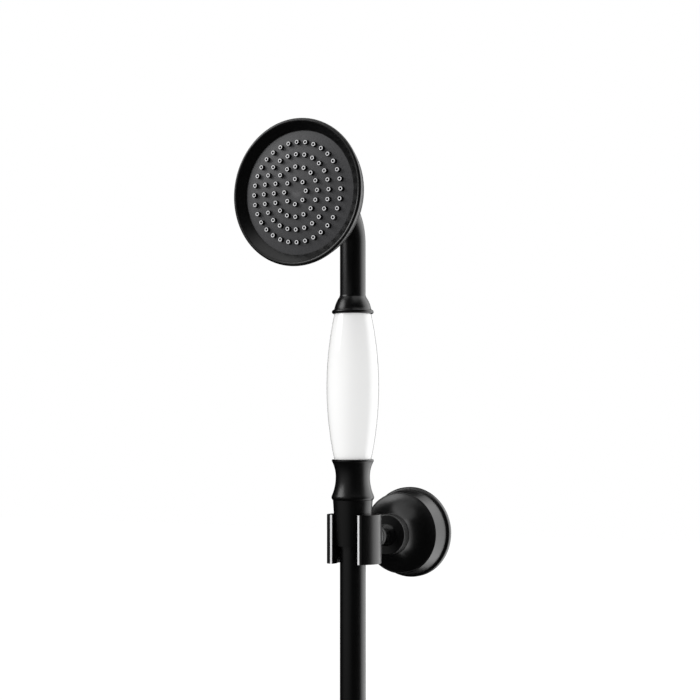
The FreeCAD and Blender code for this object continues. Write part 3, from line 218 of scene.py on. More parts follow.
class Surface(Graph):
    """A material's graph: object coordinates in, one principled shader out."""

    def __init__(self, name: str) -> None:
        """Makes the material and reads its coordinates."""
        self.material = bpy.data.materials.new(name)
        self.material.use_nodes = True
        super().__init__(self.material.node_tree)
        self.place = self.node("ShaderNodeTexCoord", output="Object")

    def noise(self, size: float, detail: float = 3.0, vector: Signal | None = None) -> Signal:
        """Noise from 0 to 1 whose blotches are about this size."""
        inputs = {"Vector": vector or self.place, "Scale": 1 / size, "Detail": detail}
        return self.node("ShaderNodeTexNoise", {"noise_dimensions": "3D"}, inputs)

    def cells(self, size: float) -> Signal:
        """Distance to the nearest of scattered points about this far apart."""
        inputs = {"Vector": self.place, "Scale": 1 / size}
        return self.node("ShaderNodeTexVoronoi", {"feature": "F1"}, inputs, "Distance")

    def bump(self, height: object, depth: float) -> Signal:
        """A normal from a height from 0 to 1."""
        inputs = {"Height": height, "Distance": depth}
        return self.node("ShaderNodeBump", inputs=inputs, output="Normal")

    def wander(self, pattern: Signal, spread: float) -> Signal:
        """A pattern from 0 to 1 made into a swing of this much in all about zero."""
        return (pattern - MIDDLE) * spread

    def finish(self, **inputs: object) -> bpy.types.Material:
        """Adds the shader and the output.

        Args:
            inputs: The shader's inputs, with _ for a space.

        Returns:
            The finished material.
        """
        named = {key.replace("_", " "): value for key, value in inputs.items()}
        shader = self.node("ShaderNodeBsdfPrincipled", inputs=named)
        self.node("ShaderNodeOutputMaterial", inputs={"Surface": shader})
        return self.material


# ---------------------------------------------------------------------------------------------
# Finishes
# ---------------------------------------------------------------------------------------------


@dataclass(frozen=True)
class SatinCoat:
    """Satin black lacquer over metal, with a fine powdery grain."""

    name: str = "satin_black_coat"
    colour: Colour = (0.0015, 0.0015, 0.0016)
    roughness: float = 0.30
    grain: float = 0.35 * MM
    depth: float = 0.006 * MM
    cloud: float = 9 * MM
    cloud_light: float = 1.5
    cloud_sheen: float = 0.06
    grain_sheen: float = 0.05

    def material(self) -> bpy.types.Material:
        """The coat as a material."""
        surface = Surface(self.name)
        return surface.finish(**self.inputs(surface))

    def inputs(self, surface: Surface) -> dict[str, object]:
        """The coat's shader inputs.

        Args:
            surface: The graph they are made in.

        Returns:
            Inputs for Surface.finish.
        """
        clouds = surface.noise(self.cloud)
        grain = surface.noise(self.grain, 2.0)
        light = brighter(self.colour, self.cloud_light)
        sheen = self.roughness + surface.wander(clouds, self.cloud_sheen)
        return {
            "Base_Color": surface.blend(clouds, self.colour, light),
            "Roughness": sheen + surface.wander(grain, self.grain_sheen),
            "Normal": surface.bump(grain, self.depth),
        }


@dataclass(frozen=True)
class ClipCoat(SatinCoat):
    """The satin coat, with pale, partly metallic stripes on the inner edges of the mouth's two faces."""

    name: str = "clip_coat"
    face: float = -0.087
    edge: float = 0.05 * MM
    pale_to: float = 10.0 * MM
    bright: Colour = (0.88, 0.88, 0.89)
    bright_roughness: float = 0.45
    pale_metallic: float = 0.35
    brush: float = 0.3 * MM
    brush_stretch: float = 0.04
    brush_sheen: float = 0.12

    def material(self) -> bpy.types.Material:
        """The coat with its two bare faces."""
        surface = Surface(self.name)
        coat = self.inputs(surface)
        across, along, _ = surface.split(surface.place)
        pale_face = surface.step(-1.0 * along, -self.face - 2 * self.edge, -self.face - self.edge)
        outer = surface.step(surface.math("ABSOLUTE", across), self.pale_to, self.pale_to + 2 * self.edge)
        pale_face = pale_face * (1.0 - outer)
        drawn_out = surface.vector("MULTIPLY", surface.place, (1.0, 1.0, self.brush_stretch))
        lines = surface.noise(self.brush, 2.0, drawn_out)
        # pale, partly metallic stripes on the inner edges of the two faces
        coat["Base_Color"] = surface.blend(pale_face, coat["Base_Color"], self.bright)
        coat["Metallic"] = pale_face * self.pale_metallic
        brushed = self.bright_roughness + surface.wander(lines, self.brush_sheen)
        coat["Roughness"] = coat["Roughness"] * (1.0 - pale_face) + brushed * pale_face
        return surface.finish(**coat)


@dataclass(frozen=True)
class FaceCoat:
    """The spray plate's dull black coat with a fine pebbled grain."""

    name: str = "pebbled_face"
    colour: Colour = (0.030, 0.030, 0.032)
    roughness: float = 0.50
    pebble: float = 0.62 * MM
    pebble_top: float = 0.7
    pebble_share: float = 0.8
    grain: float = 0.25 * MM
    grain_share: float = 0.35
    grain_tint: float = 0.4
    grain_sheen: float = 0.12
    depth: float = 0.05 * MM
    light: float = 1.55
    light_from: float = 0.25
    light_to: float = 0.95

    def material(self) -> bpy.types.Material:
        """The pebbled coat as a material."""
        surface = Surface(self.name)
        pebbles = surface.cells(self.pebble)
        fine = surface.noise(self.grain, 2.0)
        rounded = surface.math("MINIMUM", pebbles, self.pebble_top)
        height = rounded * self.pebble_share + fine * self.grain_share
        tint = surface.step(pebbles + fine * self.grain_tint, self.light_from, self.light_to)
        return surface.finish(
            Base_Color=surface.blend(tint, self.colour, brighter(self.colour, self.light)),
            Roughness=self.roughness + surface.wander(fine, self.grain_sheen),
            Normal=surface.bump(height, self.depth),
        )


@dataclass(frozen=True)
class NozzleRubber:
    """Black silicone with a pale painted highlight on every nozzle's tip."""

    name: str = "nozzle_rubber"
    colour: Colour = (0.003, 0.003, 0.0032)
    tip_highlight_colour: Colour = (0.68, 0.68, 0.69)
    roughness: float = 0.55
    highlight_depth: float = 0.20 * MM
    highlight_fade: float = 1.4
    grain: float = 0.3 * MM
    grain_sheen: float = 0.15
    grain_depth: float = 0.01 * MM

    def material(self, dome: "Dome") -> bpy.types.Material:
        """The rubber as a material.

        Args:
            dome: The spray face that the nozzles stand on.

        Returns:
            The material, with a pale painted highlight near every nozzle's end.
        """
        surface = Surface(self.name)
        x, y, z = surface.split(surface.place)
        up = z - dome.height
        across = x * x + up * up
        drop = dome.curve - surface.math("SQRT", dome.curve**2 - across)
        proud = 0.0 - y - dome.reach - dome.apex + drop
        top = dome.nozzle_height
        # tip is the band near each nozzle's end that gets the painted highlight
        tip = surface.step(proud, top - self.highlight_depth * self.highlight_fade, top - self.highlight_depth)
        grain = surface.noise(self.grain, 2.0)
        return surface.finish(
            # pale painted highlight on the nozzle tips, black rubber elsewhere
            Base_Color=surface.blend(tip, self.colour, self.tip_highlight_colour),
            Roughness=self.roughness + surface.wander(grain, self.grain_sheen),
            Normal=surface.bump(grain, self.grain_depth),
        )


@dataclass(frozen=True)
class Glaze:
    """White glazed ceramic."""

    name: str = "white_glaze"
    colour: Colour = (0.94, 0.94, 0.935)
    roughness: float = 0.10
    pool: float = 14 * MM
    pool_tint: float = 0.985
    pool_sheen: float = 0.03
    ripple: float = 3.5 * MM
    ripple_depth: float = 0.012 * MM
    coat: float = 0.5
    coat_roughness: float = 0.04

    def material(self) -> bpy.types.Material:
        """The glaze as a material."""
        surface = Surface(self.name)
        pool = surface.noise(self.pool, 2.0)
        ripple = surface.noise(self.ripple, 1.0)
        return surface.finish(
            Base_Color=surface.blend(pool, self.colour, brighter(self.colour, self.pool_tint)),
            Roughness=self.roughness + surface.wander(pool, self.pool_sheen),
            Normal=surface.bump(ripple, self.ripple_depth),
            Coat_Weight=self.coat,
            Coat_Roughness=self.coat_roughness,
        )


@dataclass(frozen=True)
class HoseSkin:
    """Smooth black hose: a faint wound core shows through the soft skin."""

    name: str = "hose_skin_black"
    colour: Colour = (0.0015, 0.0015, 0.0016)
    roughness: float = 0.30
    turns_per_metre: float = 420.0
    cloud: float = 12 * MM
    cloud_light: float = 1.4
    cloud_sheen: float = 0.05
    grain: float = 0.5 * MM
    grain_share: float = 0.5
    wound_share: float = 0.35
    wound_sheen: float = 0.012
    depth: float = 0.006 * MM

    def material(self, length: float) -> bpy.types.Material:
        """The skin as a material on the hose's own UV map.

        Args:
            length: The hose's length, which the map's first number runs along.

        Returns:
            The material.
        """
        surface = Surface(self.name)
        mapped = surface.node("ShaderNodeTexCoord", output="UV")
        along, around, _ = surface.split(mapped)
        phase = (along * (length * self.turns_per_metre) + around) * (2 * math.pi)
        wound = surface.math("SINE", phase) * 0.5 + 0.5
        clouds = surface.noise(self.cloud)
        grain = surface.noise(self.grain, 2.0)
        light = brighter(self.colour, self.cloud_light)
        sheen = self.roughness + surface.wander(clouds, self.cloud_sheen)
        return surface.finish(
            Base_Color=surface.blend(clouds, self.colour, light),
            Roughness=sheen + wound * self.wound_sheen,
            Normal=surface.bump(wound * self.wound_share + grain * self.grain_share, self.depth),
        )


@dataclass(frozen=True)
class Moulded:
    """A plain moulded or pressed stuff: rubber, nylon, plastic or fibre."""

    name: str
    colour: Colour
    roughness: float
    grain: float = 0.5 * MM
    depth: float = 0.01 * MM
    mottle: float = 0.25
    cloud: float = 4 * MM
    grain_sheen: float = 0.12

    def material(self) -> bpy.types.Material:
        """The stuff as a material."""
        surface = Surface(self.name)
        clouds = surface.noise(self.cloud)
        grain = surface.noise(self.grain, 2.0)
        return surface.finish(
            Base_Color=surface.blend(clouds, self.colour, brighter(self.colour, 1 + self.mottle)),
            Roughness=self.roughness + surface.wander(grain, self.grain_sheen),
            Normal=surface.bump(grain, self.depth),
        )


@dataclass(frozen=True)
class TurnedMetal:
    """Bare turned metal with fine tool marks and dull patches.

    Below 1, metallic is how much of the metal still shines through its tarnish.
    """

    name: str
    colour: Colour
    roughness: float = 0.30
    metallic: float = 1.0
    patch: float = 6 * MM
    patch_tint: float = 0.72
    patch_sheen: float = 0.2
    mark: float = 0.2 * MM
    mark_depth: float = 0.008 * MM

    def material(self) -> bpy.types.Material:
        """The metal as a material."""
        surface = Surface(self.name)
        patches = surface.noise(self.patch)
        marks = surface.noise(self.mark, 2.0)
        return surface.finish(
            Base_Color=surface.blend(patches, self.colour, brighter(self.colour, self.patch_tint)),
            Metallic=self.metallic,
            Roughness=self.roughness + surface.wander(patches, self.patch_sheen),
            Normal=surface.bump(marks, self.mark_depth),
        )


@dataclass(frozen=True)
class LoopTape:
    """Black hook-and-loop tape."""

    name: str = "loop_tape"
    colour: Colour = (0.008, 0.008, 0.009)
    roughness: float = 0.85
    pile: float = 0.45 * MM
    pile_depth: float = 0.12 * MM
    pile_tint: float = 1.6
    pile_light: float = 2.6
    fuzz: float = 0.2 * MM
    fuzz_share: float = 0.5
    fuzz_sheen: float = 0.1
    sheen: float = 0.3
    sheen_roughness: float = 0.5

    def material(self) -> bpy.types.Material:
        """The tape as a material."""
        surface = Surface(self.name)
        pile = surface.cells(self.pile)
        fuzz = surface.noise(self.fuzz, 4.0)
        light = brighter(self.colour, self.pile_light)
        return surface.finish(
            Base_Color=surface.blend(pile * fuzz * self.pile_tint, self.colour, light),
            Roughness=self.roughness + surface.wander(fuzz, self.fuzz_sheen),
            Normal=surface.bump(pile + fuzz * self.fuzz_share, self.pile_depth),
            Sheen_Weight=self.sheen,
            Sheen_Roughness=self.sheen_roughness,
        )


def brighter(colour: Colour, times: float) -> Colour:
    """A colour made this many times as bright."""
    return tuple(value * times for value in colour)


def slot_finishes() -> dict[str, bpy.types.Material]:
    """One material for each slot that CAD nodes carry over."""
    return {
        Slot.BLACK_COAT.value: SatinCoat().material(),
        Slot.BLACK_PLATE.value: FaceCoat().material(),
        Slot.CERAMIC.value: Glaze().material(),
        Slot.RUBBER.value: Moulded("washer_rubber", (0.012, 0.012, 0.012), 0.7).material(),
        Slot.FIBRE.value: Moulded("pressed_fibre", (0.19, 0.045, 0.02), 0.8).material(),
        Slot.NYLON.value: Moulded("turned_nylon", (0.62, 0.60, 0.54), 0.45).material(),
        Slot.PLASTIC.value: Moulded("grey_plastic", (0.16, 0.16, 0.17), 0.45).material(),
        Slot.BRASS.value: TurnedMetal("dulled_brass", (0.55, 0.38, 0.17), 0.45, 0.35).material(),
        Slot.STEEL.value: TurnedMetal("bare_steel", (0.52, 0.52, 0.53)).material(),
    }


# ---------------------------------------------------------------------------------------------
# Mesh helpers
# ---------------------------------------------------------------------------------------------


def new_piece(name: str, data: bpy.types.ID, *materials: bpy.types.Material) -> bpy.types.Object:
    """Puts a mesh or curve into the scene at the origin.

    Args:
        name: The piece's name.
        data: Its mesh or curve.
        materials: The finishes of its material slots.

    Returns:
        The new object.
    """
    piece = bpy.data.objects.new(name, data)
    for material in materials:
        data.materials.append(material)
    bpy.context.scene.collection.objects.link(piece)
    return piece


def close_up(mesh: bpy.types.Mesh, sharp: float = 35.0) -> None:
    """Merges doubles, turns faces outwards and shades smooth up to an angle in degrees."""
    work = bmesh.new()
    work.from_mesh(mesh)
    bmesh.ops.remove_doubles(work, verts=work.verts, dist=MERGE)
    bmesh.ops.recalc_face_normals(work, faces=work.faces)
    for face in work.faces:
        face.smooth = True
    for edge in work.edges:
        edge.smooth = edge.calc_face_angle(0.0) < math.radians(sharp)
    work.to_mesh(mesh)
    work.free()


def bridge_rings(rings: Sequence[Sequence[Vector]], closed: bool = True) -> bpy.types.Mesh:
    """A mesh through rings of as many points each.

    Args:
        rings: The rings in order.
        closed: Whether the last ring joins the first; otherwise both ends get a face.

    Returns:
        The mesh, closed and smooth shaded.
    """
    work = bmesh.new()
    made = [[work.verts.new(point) for point in ring] for ring in rings]
    count = len(made[0])
    pairs = list(zip(made, made[1:] + made[:1])) if closed else list(zip(made, made[1:]))
    for lower, upper in pairs:
        for index in range(count):
            following = (index + 1) % count
            work.faces.new((lower[index], lower[following], upper[following], upper[index]))
    if not closed:
        work.faces.new(made[0])
        work.faces.new(made[-1])
    mesh = bpy.data.meshes.new("rings")
    work.to_mesh(mesh)
    work.free()
    close_up(mesh)
    return mesh


# ---------------------------------------------------------------------------------------------
# Head
# ---------------------------------------------------------------------------------------------


@dataclass(frozen=True)
class Dome:
    """The spray face's dome, measured forward from the handset's axis."""

    reach: float = 77.0 * MM
    height: float = 202.65 * MM
    apex: float = 65.84 * MM
    curve: float = 205.0 * MM
    nozzle_height: float = 2.25 * MM


@dataclass
class NozzleField:
    """The silicone mat and its rings of nozzles, grown by one node tree."""

    dome: Dome
    spacing: float = 7.25 * MM
    rings: int = 4
    per_ring: int = 8
    base: float = 1.5 * MM
    tip: float = 1.15 * MM
    hole: float = 0.75 * MM
    lip: float = 0.18 * MM
    bore: float = 1.6 * MM
    root: float = 2.1 * MM
    mat_radius: float = 36.6 * MM
    mat_front: float = 1.5 * MM
    mat_thick: float = 1.2 * MM
    segments: int = 18

    def build(self, material: bpy.types.Material) -> bpy.types.Object:
        """Grows the field and turns it into a plain mesh.

        Args:
            material: The rubber.

        Returns:
            The finished piece.
        """
        tree = bpy.data.node_groups.new("nozzle_field", "GeometryNodeTree")
        graph = Graph(tree)
        sizes = {
            "Spacing": self.spacing,
            "Base Radius": self.base,
            "Tip Radius": self.tip,
            "Hole Radius": self.hole,
            "Height": self.dome.nozzle_height,
            "Dome Radius": self.dome.curve,
        }
        sockets = {
            name: tree.interface.new_socket(name, in_out="INPUT", socket_type="NodeSocketFloat")
            for name in sizes
        }
        tree.interface.new_socket("Geometry", in_out="OUTPUT", socket_type="NodeSocketGeometry")
        given = graph.node("NodeGroupInput").socket.node
        size = {name: Signal(graph, given.outputs[name]) for name in sizes}

        points = self._ring_points(graph, size)
        nozzle = self._nozzle(graph, size)
        spread = graph.node("GeometryNodeInstanceOnPoints", inputs={"Points": points, "Instance": nozzle})
        both = graph.node("GeometryNodeJoinGeometry", inputs={0: spread})
        graph.plug(both.socket.node.inputs[0], self._mat(graph, size))
        turned = graph.node(
            "GeometryNodeTransform",
            inputs={
                "Geometry": both,
                "Rotation": (math.pi / 2, 0.0, 0.0),
                "Translation": (0.0, -self.dome.reach - self.dome.apex, self.dome.height),
            },
        )
        real = graph.node("GeometryNodeRealizeInstances", inputs={0: turned})
        dressed = graph.node("GeometryNodeSetMaterial", inputs={"Geometry": real, "Material": material})
        graph.node("NodeGroupOutput", inputs={0: dressed})

        seed = bpy.data.meshes.new("nozzle_seed")
        carrier = new_piece("nozzle_carrier", seed)
        modifier = carrier.modifiers.new("field", "NODES")
        modifier.node_group = tree
        for name, socket in sockets.items():
            modifier[socket.identifier] = sizes[name]
        depsgraph = bpy.context.evaluated_depsgraph_get()
        mesh = bpy.data.meshes.new_from_object(carrier.evaluated_get(depsgraph))
        bpy.data.objects.remove(carrier)
        mesh.materials.clear()
        close_up(mesh, 50.0)
        return new_piece("nozzle_field", mesh, material)

    def _ring_points(self, graph: Graph, size: Mapping[str, Signal]) -> Signal:
        """Points of every ring, dropped onto the dome; ring k has k times per_ring."""
        joined = graph.node("GeometryNodeJoinGeometry")
        for number in range(self.rings, 0, -1):
            inputs = {"Vertices": self.per_ring * number, "Radius": size["Spacing"] * float(number)}
            circle = graph.node("GeometryNodeMeshCircle", inputs=inputs)
            graph.plug(joined.socket.node.inputs[0], circle)
        position = graph.node("GeometryNodeInputPosition")
        x, y, _ = graph.split(position)
        curve = size["Dome Radius"]
        drop = graph.math("SQRT", curve * curve - (x * x + y * y)) - curve
        inputs = {"Geometry": joined, "Position": graph.join(x, y, drop)}
        return graph.node("GeometryNodeSetPosition", inputs=inputs)

    def _grow(
        self, graph: Graph, radius: object, foot: object, steps: Iterable[tuple[object, object]]
    ) -> Signal:
        """A closed turned shape grown from a filled circle.

        Args:
            graph: The tree.
            radius: The first circle's radius.
            foot: Its height.
            steps: The (radius, height) of each further ring; the last radius is 0.

        Returns:
            The merged geometry.
        """
        inputs = {"Vertices": self.segments, "Radius": radius}
        shape = graph.node("GeometryNodeMeshCircle", {"fill_type": "NGON"}, inputs)
        flat = graph.join(0.0, 0.0, foot)
        shape = graph.node("GeometryNodeSetPosition", inputs={"Geometry": shape, "Offset": flat})
        top: Signal | None = None
        for reach, height in steps:
            inputs = {"Mesh": shape, "Offset Scale": 0.0}
            if top is not None:
                inputs["Selection"] = top
            grown = graph.node("GeometryNodeExtrudeMesh", {"mode": "EDGES"}, inputs)
            top = Signal(graph, grown.socket.node.outputs["Top"])
            position = graph.node("GeometryNodeInputPosition")
            level = graph.vector("MULTIPLY", position, (1.0, 1.0, 0.0))
            outwards = graph.vector("SCALE", graph.vector("NORMALIZE", level), reach)
            place = graph.vector("ADD", outwards, graph.join(0.0, 0.0, height))
            inputs = {"Geometry": grown, "Selection": top, "Position": place}
            shape = graph.node("GeometryNodeSetPosition", inputs=inputs)
        return graph.node("GeometryNodeMergeByDistance", inputs={"Geometry": shape, "Distance": MERGE})

    def _nozzle(self, graph: Graph, size: Mapping[str, Signal]) -> Signal:
        """One nozzle: a tapered stalk with a rounded lip and a blind hole."""
        tip, hole, height = size["Tip Radius"], size["Hole Radius"], size["Height"]
        steps = [
            (size["Base Radius"] * 0.97, 0.0 * height),
            (tip + self.lip * 0.2, height - self.lip),
            (tip - self.lip * 0.1, height - self.lip * 0.3),
            (tip - self.lip * 0.6, height + 0.0),
            (hole + self.lip * 0.4, height + 0.0),
            (hole + 0.0, height - self.lip * 0.4),
            (hole + 0.0, height - self.bore),
            (0.0, height - self.bore),
        ]
        return self._grow(graph, size["Base Radius"], -self.root, steps)

    def _mat(self, graph: Graph, size: Mapping[str, Signal]) -> Signal:
        """The domed mat that the nozzles grow from."""
        shares = (1.0, 0.75, 0.5, 0.25, 0.0)
        curve = size["Dome Radius"]

        def sunk(share: float, below: float) -> Signal:
            """Height of the dome at a share of the mat's radius, less a depth."""
            across = (self.mat_radius * share) ** 2
            return graph.math("SQRT", curve * curve - across) - curve - below

        front = [(self.mat_radius * share, sunk(share, self.mat_front)) for share in shares]
        back = sunk(1.0, self.mat_front + self.mat_thick)
        return self._grow(graph, self.mat_radius, back, front)


@dataclass
class Head:
    """The spray head's visible face."""

    dome: Dome = field(default_factory=Dome)

    def dress(self) -> None:
        """Grows the nozzles in place of the plain mat."""
        piece = NozzleField(self.dome).build(NozzleRubber().material(self.dome))
        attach(piece, Body.HANDSET.value)
        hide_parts("nozzle_mat")
        LOG.info("nozzle field: %d faces", len(piece.data.polygons))


# ---------------------------------------------------------------------------------------------
# Hose
# ---------------------------------------------------------------------------------------------


@dataclass
class Hose:
    """The hose: straight down from the nut, then wound into a tied coil with its end nut."""

    reach: float = 77.0 * MM
    exit_height: float = -5.8 * MM
    coil_height: float = -216.2 * MM
    coil_radius: float = 82.0 * MM
    radius: float = 7.8 * MM
    pitch: float = 15.9 * MM
    drift: float = 8.0 * MM
    turns: float = 2.5
    per_turn: int = 16
    end_height: float = -202.2 * MM
    runs: tuple[float, ...] = (-60.0 * MM, -110.0 * MM, -160.0 * MM)
    length: float = 1.512
    right_strap: float = 0.125
    left_strap: float = 0.375
    steps_between: int = 10
    roundness: int = 12

    def depth(self, turn: float) -> float:
        """Distance from the wall after this many turns of the coil (negative: into the room)."""

        def ease(start: float, end: float) -> float:
            """0 before start, 1 after end and smooth between."""
            share = min(max((turn - start) / (end - start), 0.0), 1.0)
            return share * share * (3 - 2 * share)

        shift = self.pitch * (ease(0.6, 0.9) + ease(1.6, 1.9)) + self.drift * ease(2.0, 2.5)
        return -self.reach + shift

    def on_coil(self, turn: float, radius: float) -> Vector:
        """A point beside the coil's line at this radius from the coil's centre."""
        angle = turn * 2 * math.pi
        across = -self.coil_radius + radius * math.cos(angle)
        return Vector((across, self.depth(turn), self.coil_height - radius * math.sin(angle)))

    def route(self) -> list[Vector]:
        """The hose's guide points, from the nut to the far end."""
        points = [Vector((0, -self.reach, height)) for height in (self.exit_height, *self.runs)]
        outer = self.coil_radius / math.cos(math.pi / self.per_turn)
        for index in range(int(self.turns * self.per_turn)):
            points.append(self.on_coil((index + 0.5) / self.per_turn, outer))
        end = self.on_coil(self.turns, self.coil_radius)
        points.append(Vector((end.x, end.y, self.end_height)))
        return points

    def build(self) -> None:
        curve = bpy.data.curves.new("shower_hose", "CURVE")
        curve.dimensions = "3D"
        spline = curve.splines.new("NURBS")
        points = self.route()
        spline.points.add(len(points) - 1)
        for point, place in zip(spline.points, points):
            point.co = (*place, 1.0)
        spline.order_u = 3
        spline.use_endpoint_u = True
        spline.resolution_u = self.steps_between
        curve.bevel_depth = self.radius
        curve.bevel_resolution = self.roundness
        curve.use_fill_caps = True
        piece = new_piece("shower_hose", curve, HoseSkin().material(self.length))
        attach(piece, Body.HOSE.value)
        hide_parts("hose", "hose_coil")

        tape = LoopTape().material()
        straps = [
            CoilStrap("strap_right", "coil_tie_right", self.right_strap).build(self, tape),
            CoilStrap("strap_left", "coil_tie_left", self.left_strap).build(self, tape),
        ]
        nut = EndNut().build(SatinCoat("end_nut_coat").material())
        LOG.info("hose: %d guide points", len(points))


@dataclass
class CoilStrap:
    """A strap of hook-and-loop tape round the coil's turns, with its end lapped over."""

    name: str
    node: str
    turn: float
    thick: float = 1.1 * MM
    width: float = 11.0 * MM
    slack: float = 0.15 * MM
    steps: int = 14

    def build(self, hose: Hose, material: bpy.types.Material) -> bpy.types.Object:
        """Winds the strap round the turns at its place.

        Args:
            hose: The hose that it holds.
            material: The tape.

        Returns:
            The finished strap.
        """
        angle = self.turn * 2 * math.pi
        outwards = Vector((math.cos(angle), 0, -math.sin(angle)))
        sideways = Vector((math.sin(angle), 0, math.cos(angle)))
        centre = Vector((-hose.coil_radius, 0, hose.coil_height)) + outwards * hose.coil_radius
        front = hose.depth(self.turn)
        back = hose.depth(self.turn + 2)
        path = self._path(front, back, hose.radius + self.slack)
        half, flat = self.width / 2, self.width / 2 - self.thick / 4
        outline = [(-flat, 0.0), (flat, 0.0), (half, 0.3), (half, 0.7)]
        outline += [(flat, 1.0), (-flat, 1.0), (-half, 0.7), (-half, 0.3)]
        rings = []
        for away, depth, normal_out, normal_back in path:
            inner = centre + outwards * away + Vector((0, depth, 0))
            normal = outwards * normal_out + Vector((0, normal_back, 0))
            rings.append(
                [inner + sideways * side + normal * (self.thick * lift) for side, lift in outline]
            )
        piece = new_piece(self.name, bridge_rings(rings, closed=False), material)
        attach(piece, Body.HOSE.value)
        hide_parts(self.node)
        return piece

    def _path(self, front: float, back: float, around: float) -> list[tuple[float, ...]]:
        """Stations round the turns, with the last few lifted over the first layer.

        Args:
            front: The front turn's depth.
            back: The back turn's depth.
            around: The distance from a turn's line to the strap's inner side.

        Returns:
            For each station (outwards, depth, and the normal's two parts).
        """
        stations = []
        for index in range(self.steps * 2 + 1):
            angle = math.pi * index / self.steps
            middle = back if index <= self.steps else front
            if index == self.steps:
                stations.append((-1.0, 0.0, back))
                middle = front
            stations.append((math.cos(angle), math.sin(angle), middle))
        start = (1.0, 0.0, front)
        lap = [(1.0, 0.0, front + (back - front) * share) for share in (0.25, 0.55, 0.8)]
        ordered = [start, (1.0, 0.0, (front + back) / 2), *stations, *lap]
        path = []
        for index, (out, behind, middle) in enumerate(ordered):
            late = max(index - (len(ordered) - 7), 0) / 4
            lift = self.thick * 1.08 * min(late, 1.0)
            path.append((out * (around + lift), middle + behind * (around + lift), out, behind))
        return path


@dataclass
class EndNut:
    """The hexagonal union nut at the hose's far end, chamfered and threaded."""

    x: float = -164.0 * MM
    y: float = -37.2 * MM
    foot: float = -208.2 * MM
    length: float = 20.0 * MM
    flats: float = 24.0 * MM
    chamfer: float = 30.0
    skirt: float = 5.95 * MM
    skirt_bore: float = 8.25 * MM
    relief: float = 10.6775 * MM
    thread_start: float = 10.25 * MM
    bore: float = 10.4775 * MM
    thread_end: float = 0.9 * MM
    thread_depth: float = 0.9 * MM
    thread_pitch: float = 1.814 * MM
    relief_step: float = 0.1 * MM
    skirt_edge: float = 0.3 * MM
    mouth_edge: float = 0.5 * MM
    flat_share: float = 0.985
    sides: int = 96
    thread_steps: int = 6

    def corner_radius(self, angle: float) -> float:
        """Distance from the axis to the hexagon's side at an angle."""
        sixth = math.pi / 3
        return self.flats / 2 / math.cos(angle % sixth - sixth / 2)

    def build(self, material: bpy.types.Material) -> bpy.types.Object:
        """Turns the nut's outline round its axis, side by side.

        Args:
            material: The coat.

        Returns:
            The finished nut.
        """
        slope = math.tan(math.radians(self.chamfer))
        flat = self.flats / 2 * self.flat_share
        thread_top = self.length - self.thread_end
        turns = (thread_top - self.thread_start) / self.thread_pitch
        count = int(turns * self.thread_steps)
        columns: list[list[Vector]] = []
        for index in range(self.sides):
            angle = 2 * math.pi * index / self.sides
            wide = self.corner_radius(angle)
            drop = (wide - flat) * slope
            outline = [
                (self.skirt_bore, self.skirt_edge),
                (self.skirt_bore + self.skirt_edge, 0.0),
                (flat, 0.0),
                (wide, drop),
                (wide, self.length - drop),
                (flat, self.length),
                (self.bore + self.mouth_edge, self.length),
                (self.bore, self.length - self.mouth_edge),
            ]
            for step in range(count, -1, -1):
                height = self.thread_start + (thread_top - self.thread_start) * step / count
                phase = (height / self.thread_pitch + index / self.sides) % 1.0
                fade = min(step, count - step, self.thread_steps) / self.thread_steps
                ridge = 1 - abs(phase * 2 - 1)
                outline.append((self.bore - self.thread_depth * ridge * fade, height))
            relief_top = self.thread_start - self.relief_step
            outline += [(self.relief, relief_top), (self.relief, self.skirt)]
            outline.append((self.skirt_bore, self.skirt))
            direction = Vector((math.cos(angle), math.sin(angle), 0))
            base = Vector((self.x, self.y, self.foot))
            columns.append([base + direction * reach + Vector((0, 0, up)) for reach, up in outline])
        piece = new_piece("hose_end_nut", bridge_rings(columns), material)
        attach(piece, Body.END_NUT.value)
        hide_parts("end_nut")
        LOG.info("end nut: %d faces", len(piece.data.polygons))
        return piece


# ---------------------------------------------------------------------------------------------
# Carried-over metal, and the studio
# ---------------------------------------------------------------------------------------------


@dataclass
class MetalWork:
    """Every CAD node whose shape stays, with its finish."""

    nodes: Mapping[str, bpy.types.Object]

    def dress(self) -> None:
        """Gives each node its slot's finish; the clip and its friction washer have their own."""
        finishes = slot_finishes()
        for name, node in self.nodes.items():
            for slot in node.material_slots:
                if slot.material and slot.material.name in finishes:
                    slot.material = finishes[slot.material.name]
        self.nodes["clip"].material_slots[0].material = ClipCoat().material()
        self.nodes["clip_washer"].material_slots[0].material = finishes[Slot.RUBBER.value]
        LOG.info("metal work: %d nodes", len(self.nodes))


@dataclass(frozen=True)
class GlowPatch:
    """A soft patch of light on the tent, in degrees round and above the horizon.

    Azimuth 0 is the side that the spray face looks to, and 90 is towards +X.
    """

    azimuth: float
    elevation: float
    half_width: float
    half_height: float
    edge: float
    level: float

    def shine(self, graph: Graph, azimuth: Signal, elevation: Signal) -> Signal:
        """The patch's light at the place that two angles give."""
        across = self._inside(graph, azimuth - self.azimuth, self.half_width)
        upwards = self._inside(graph, elevation - self.elevation, self.half_height)
        return across * upwards * self.level

    def _inside(self, graph: Graph, angle: Signal, half: float) -> Signal:
        """1 within half of the middle, falling to 0 over the edge."""
        away = graph.math("ABSOLUTE", angle)
        return 1.0 - graph.step(away, half - self.edge, half + self.edge)


def towards(around: float, up: float) -> Vector:
    """The direction at these angles in radians, round from the spray face's side and up."""
    return Vector((math.sin(around) * math.cos(up), -math.cos(around) * math.cos(up), math.sin(up)))


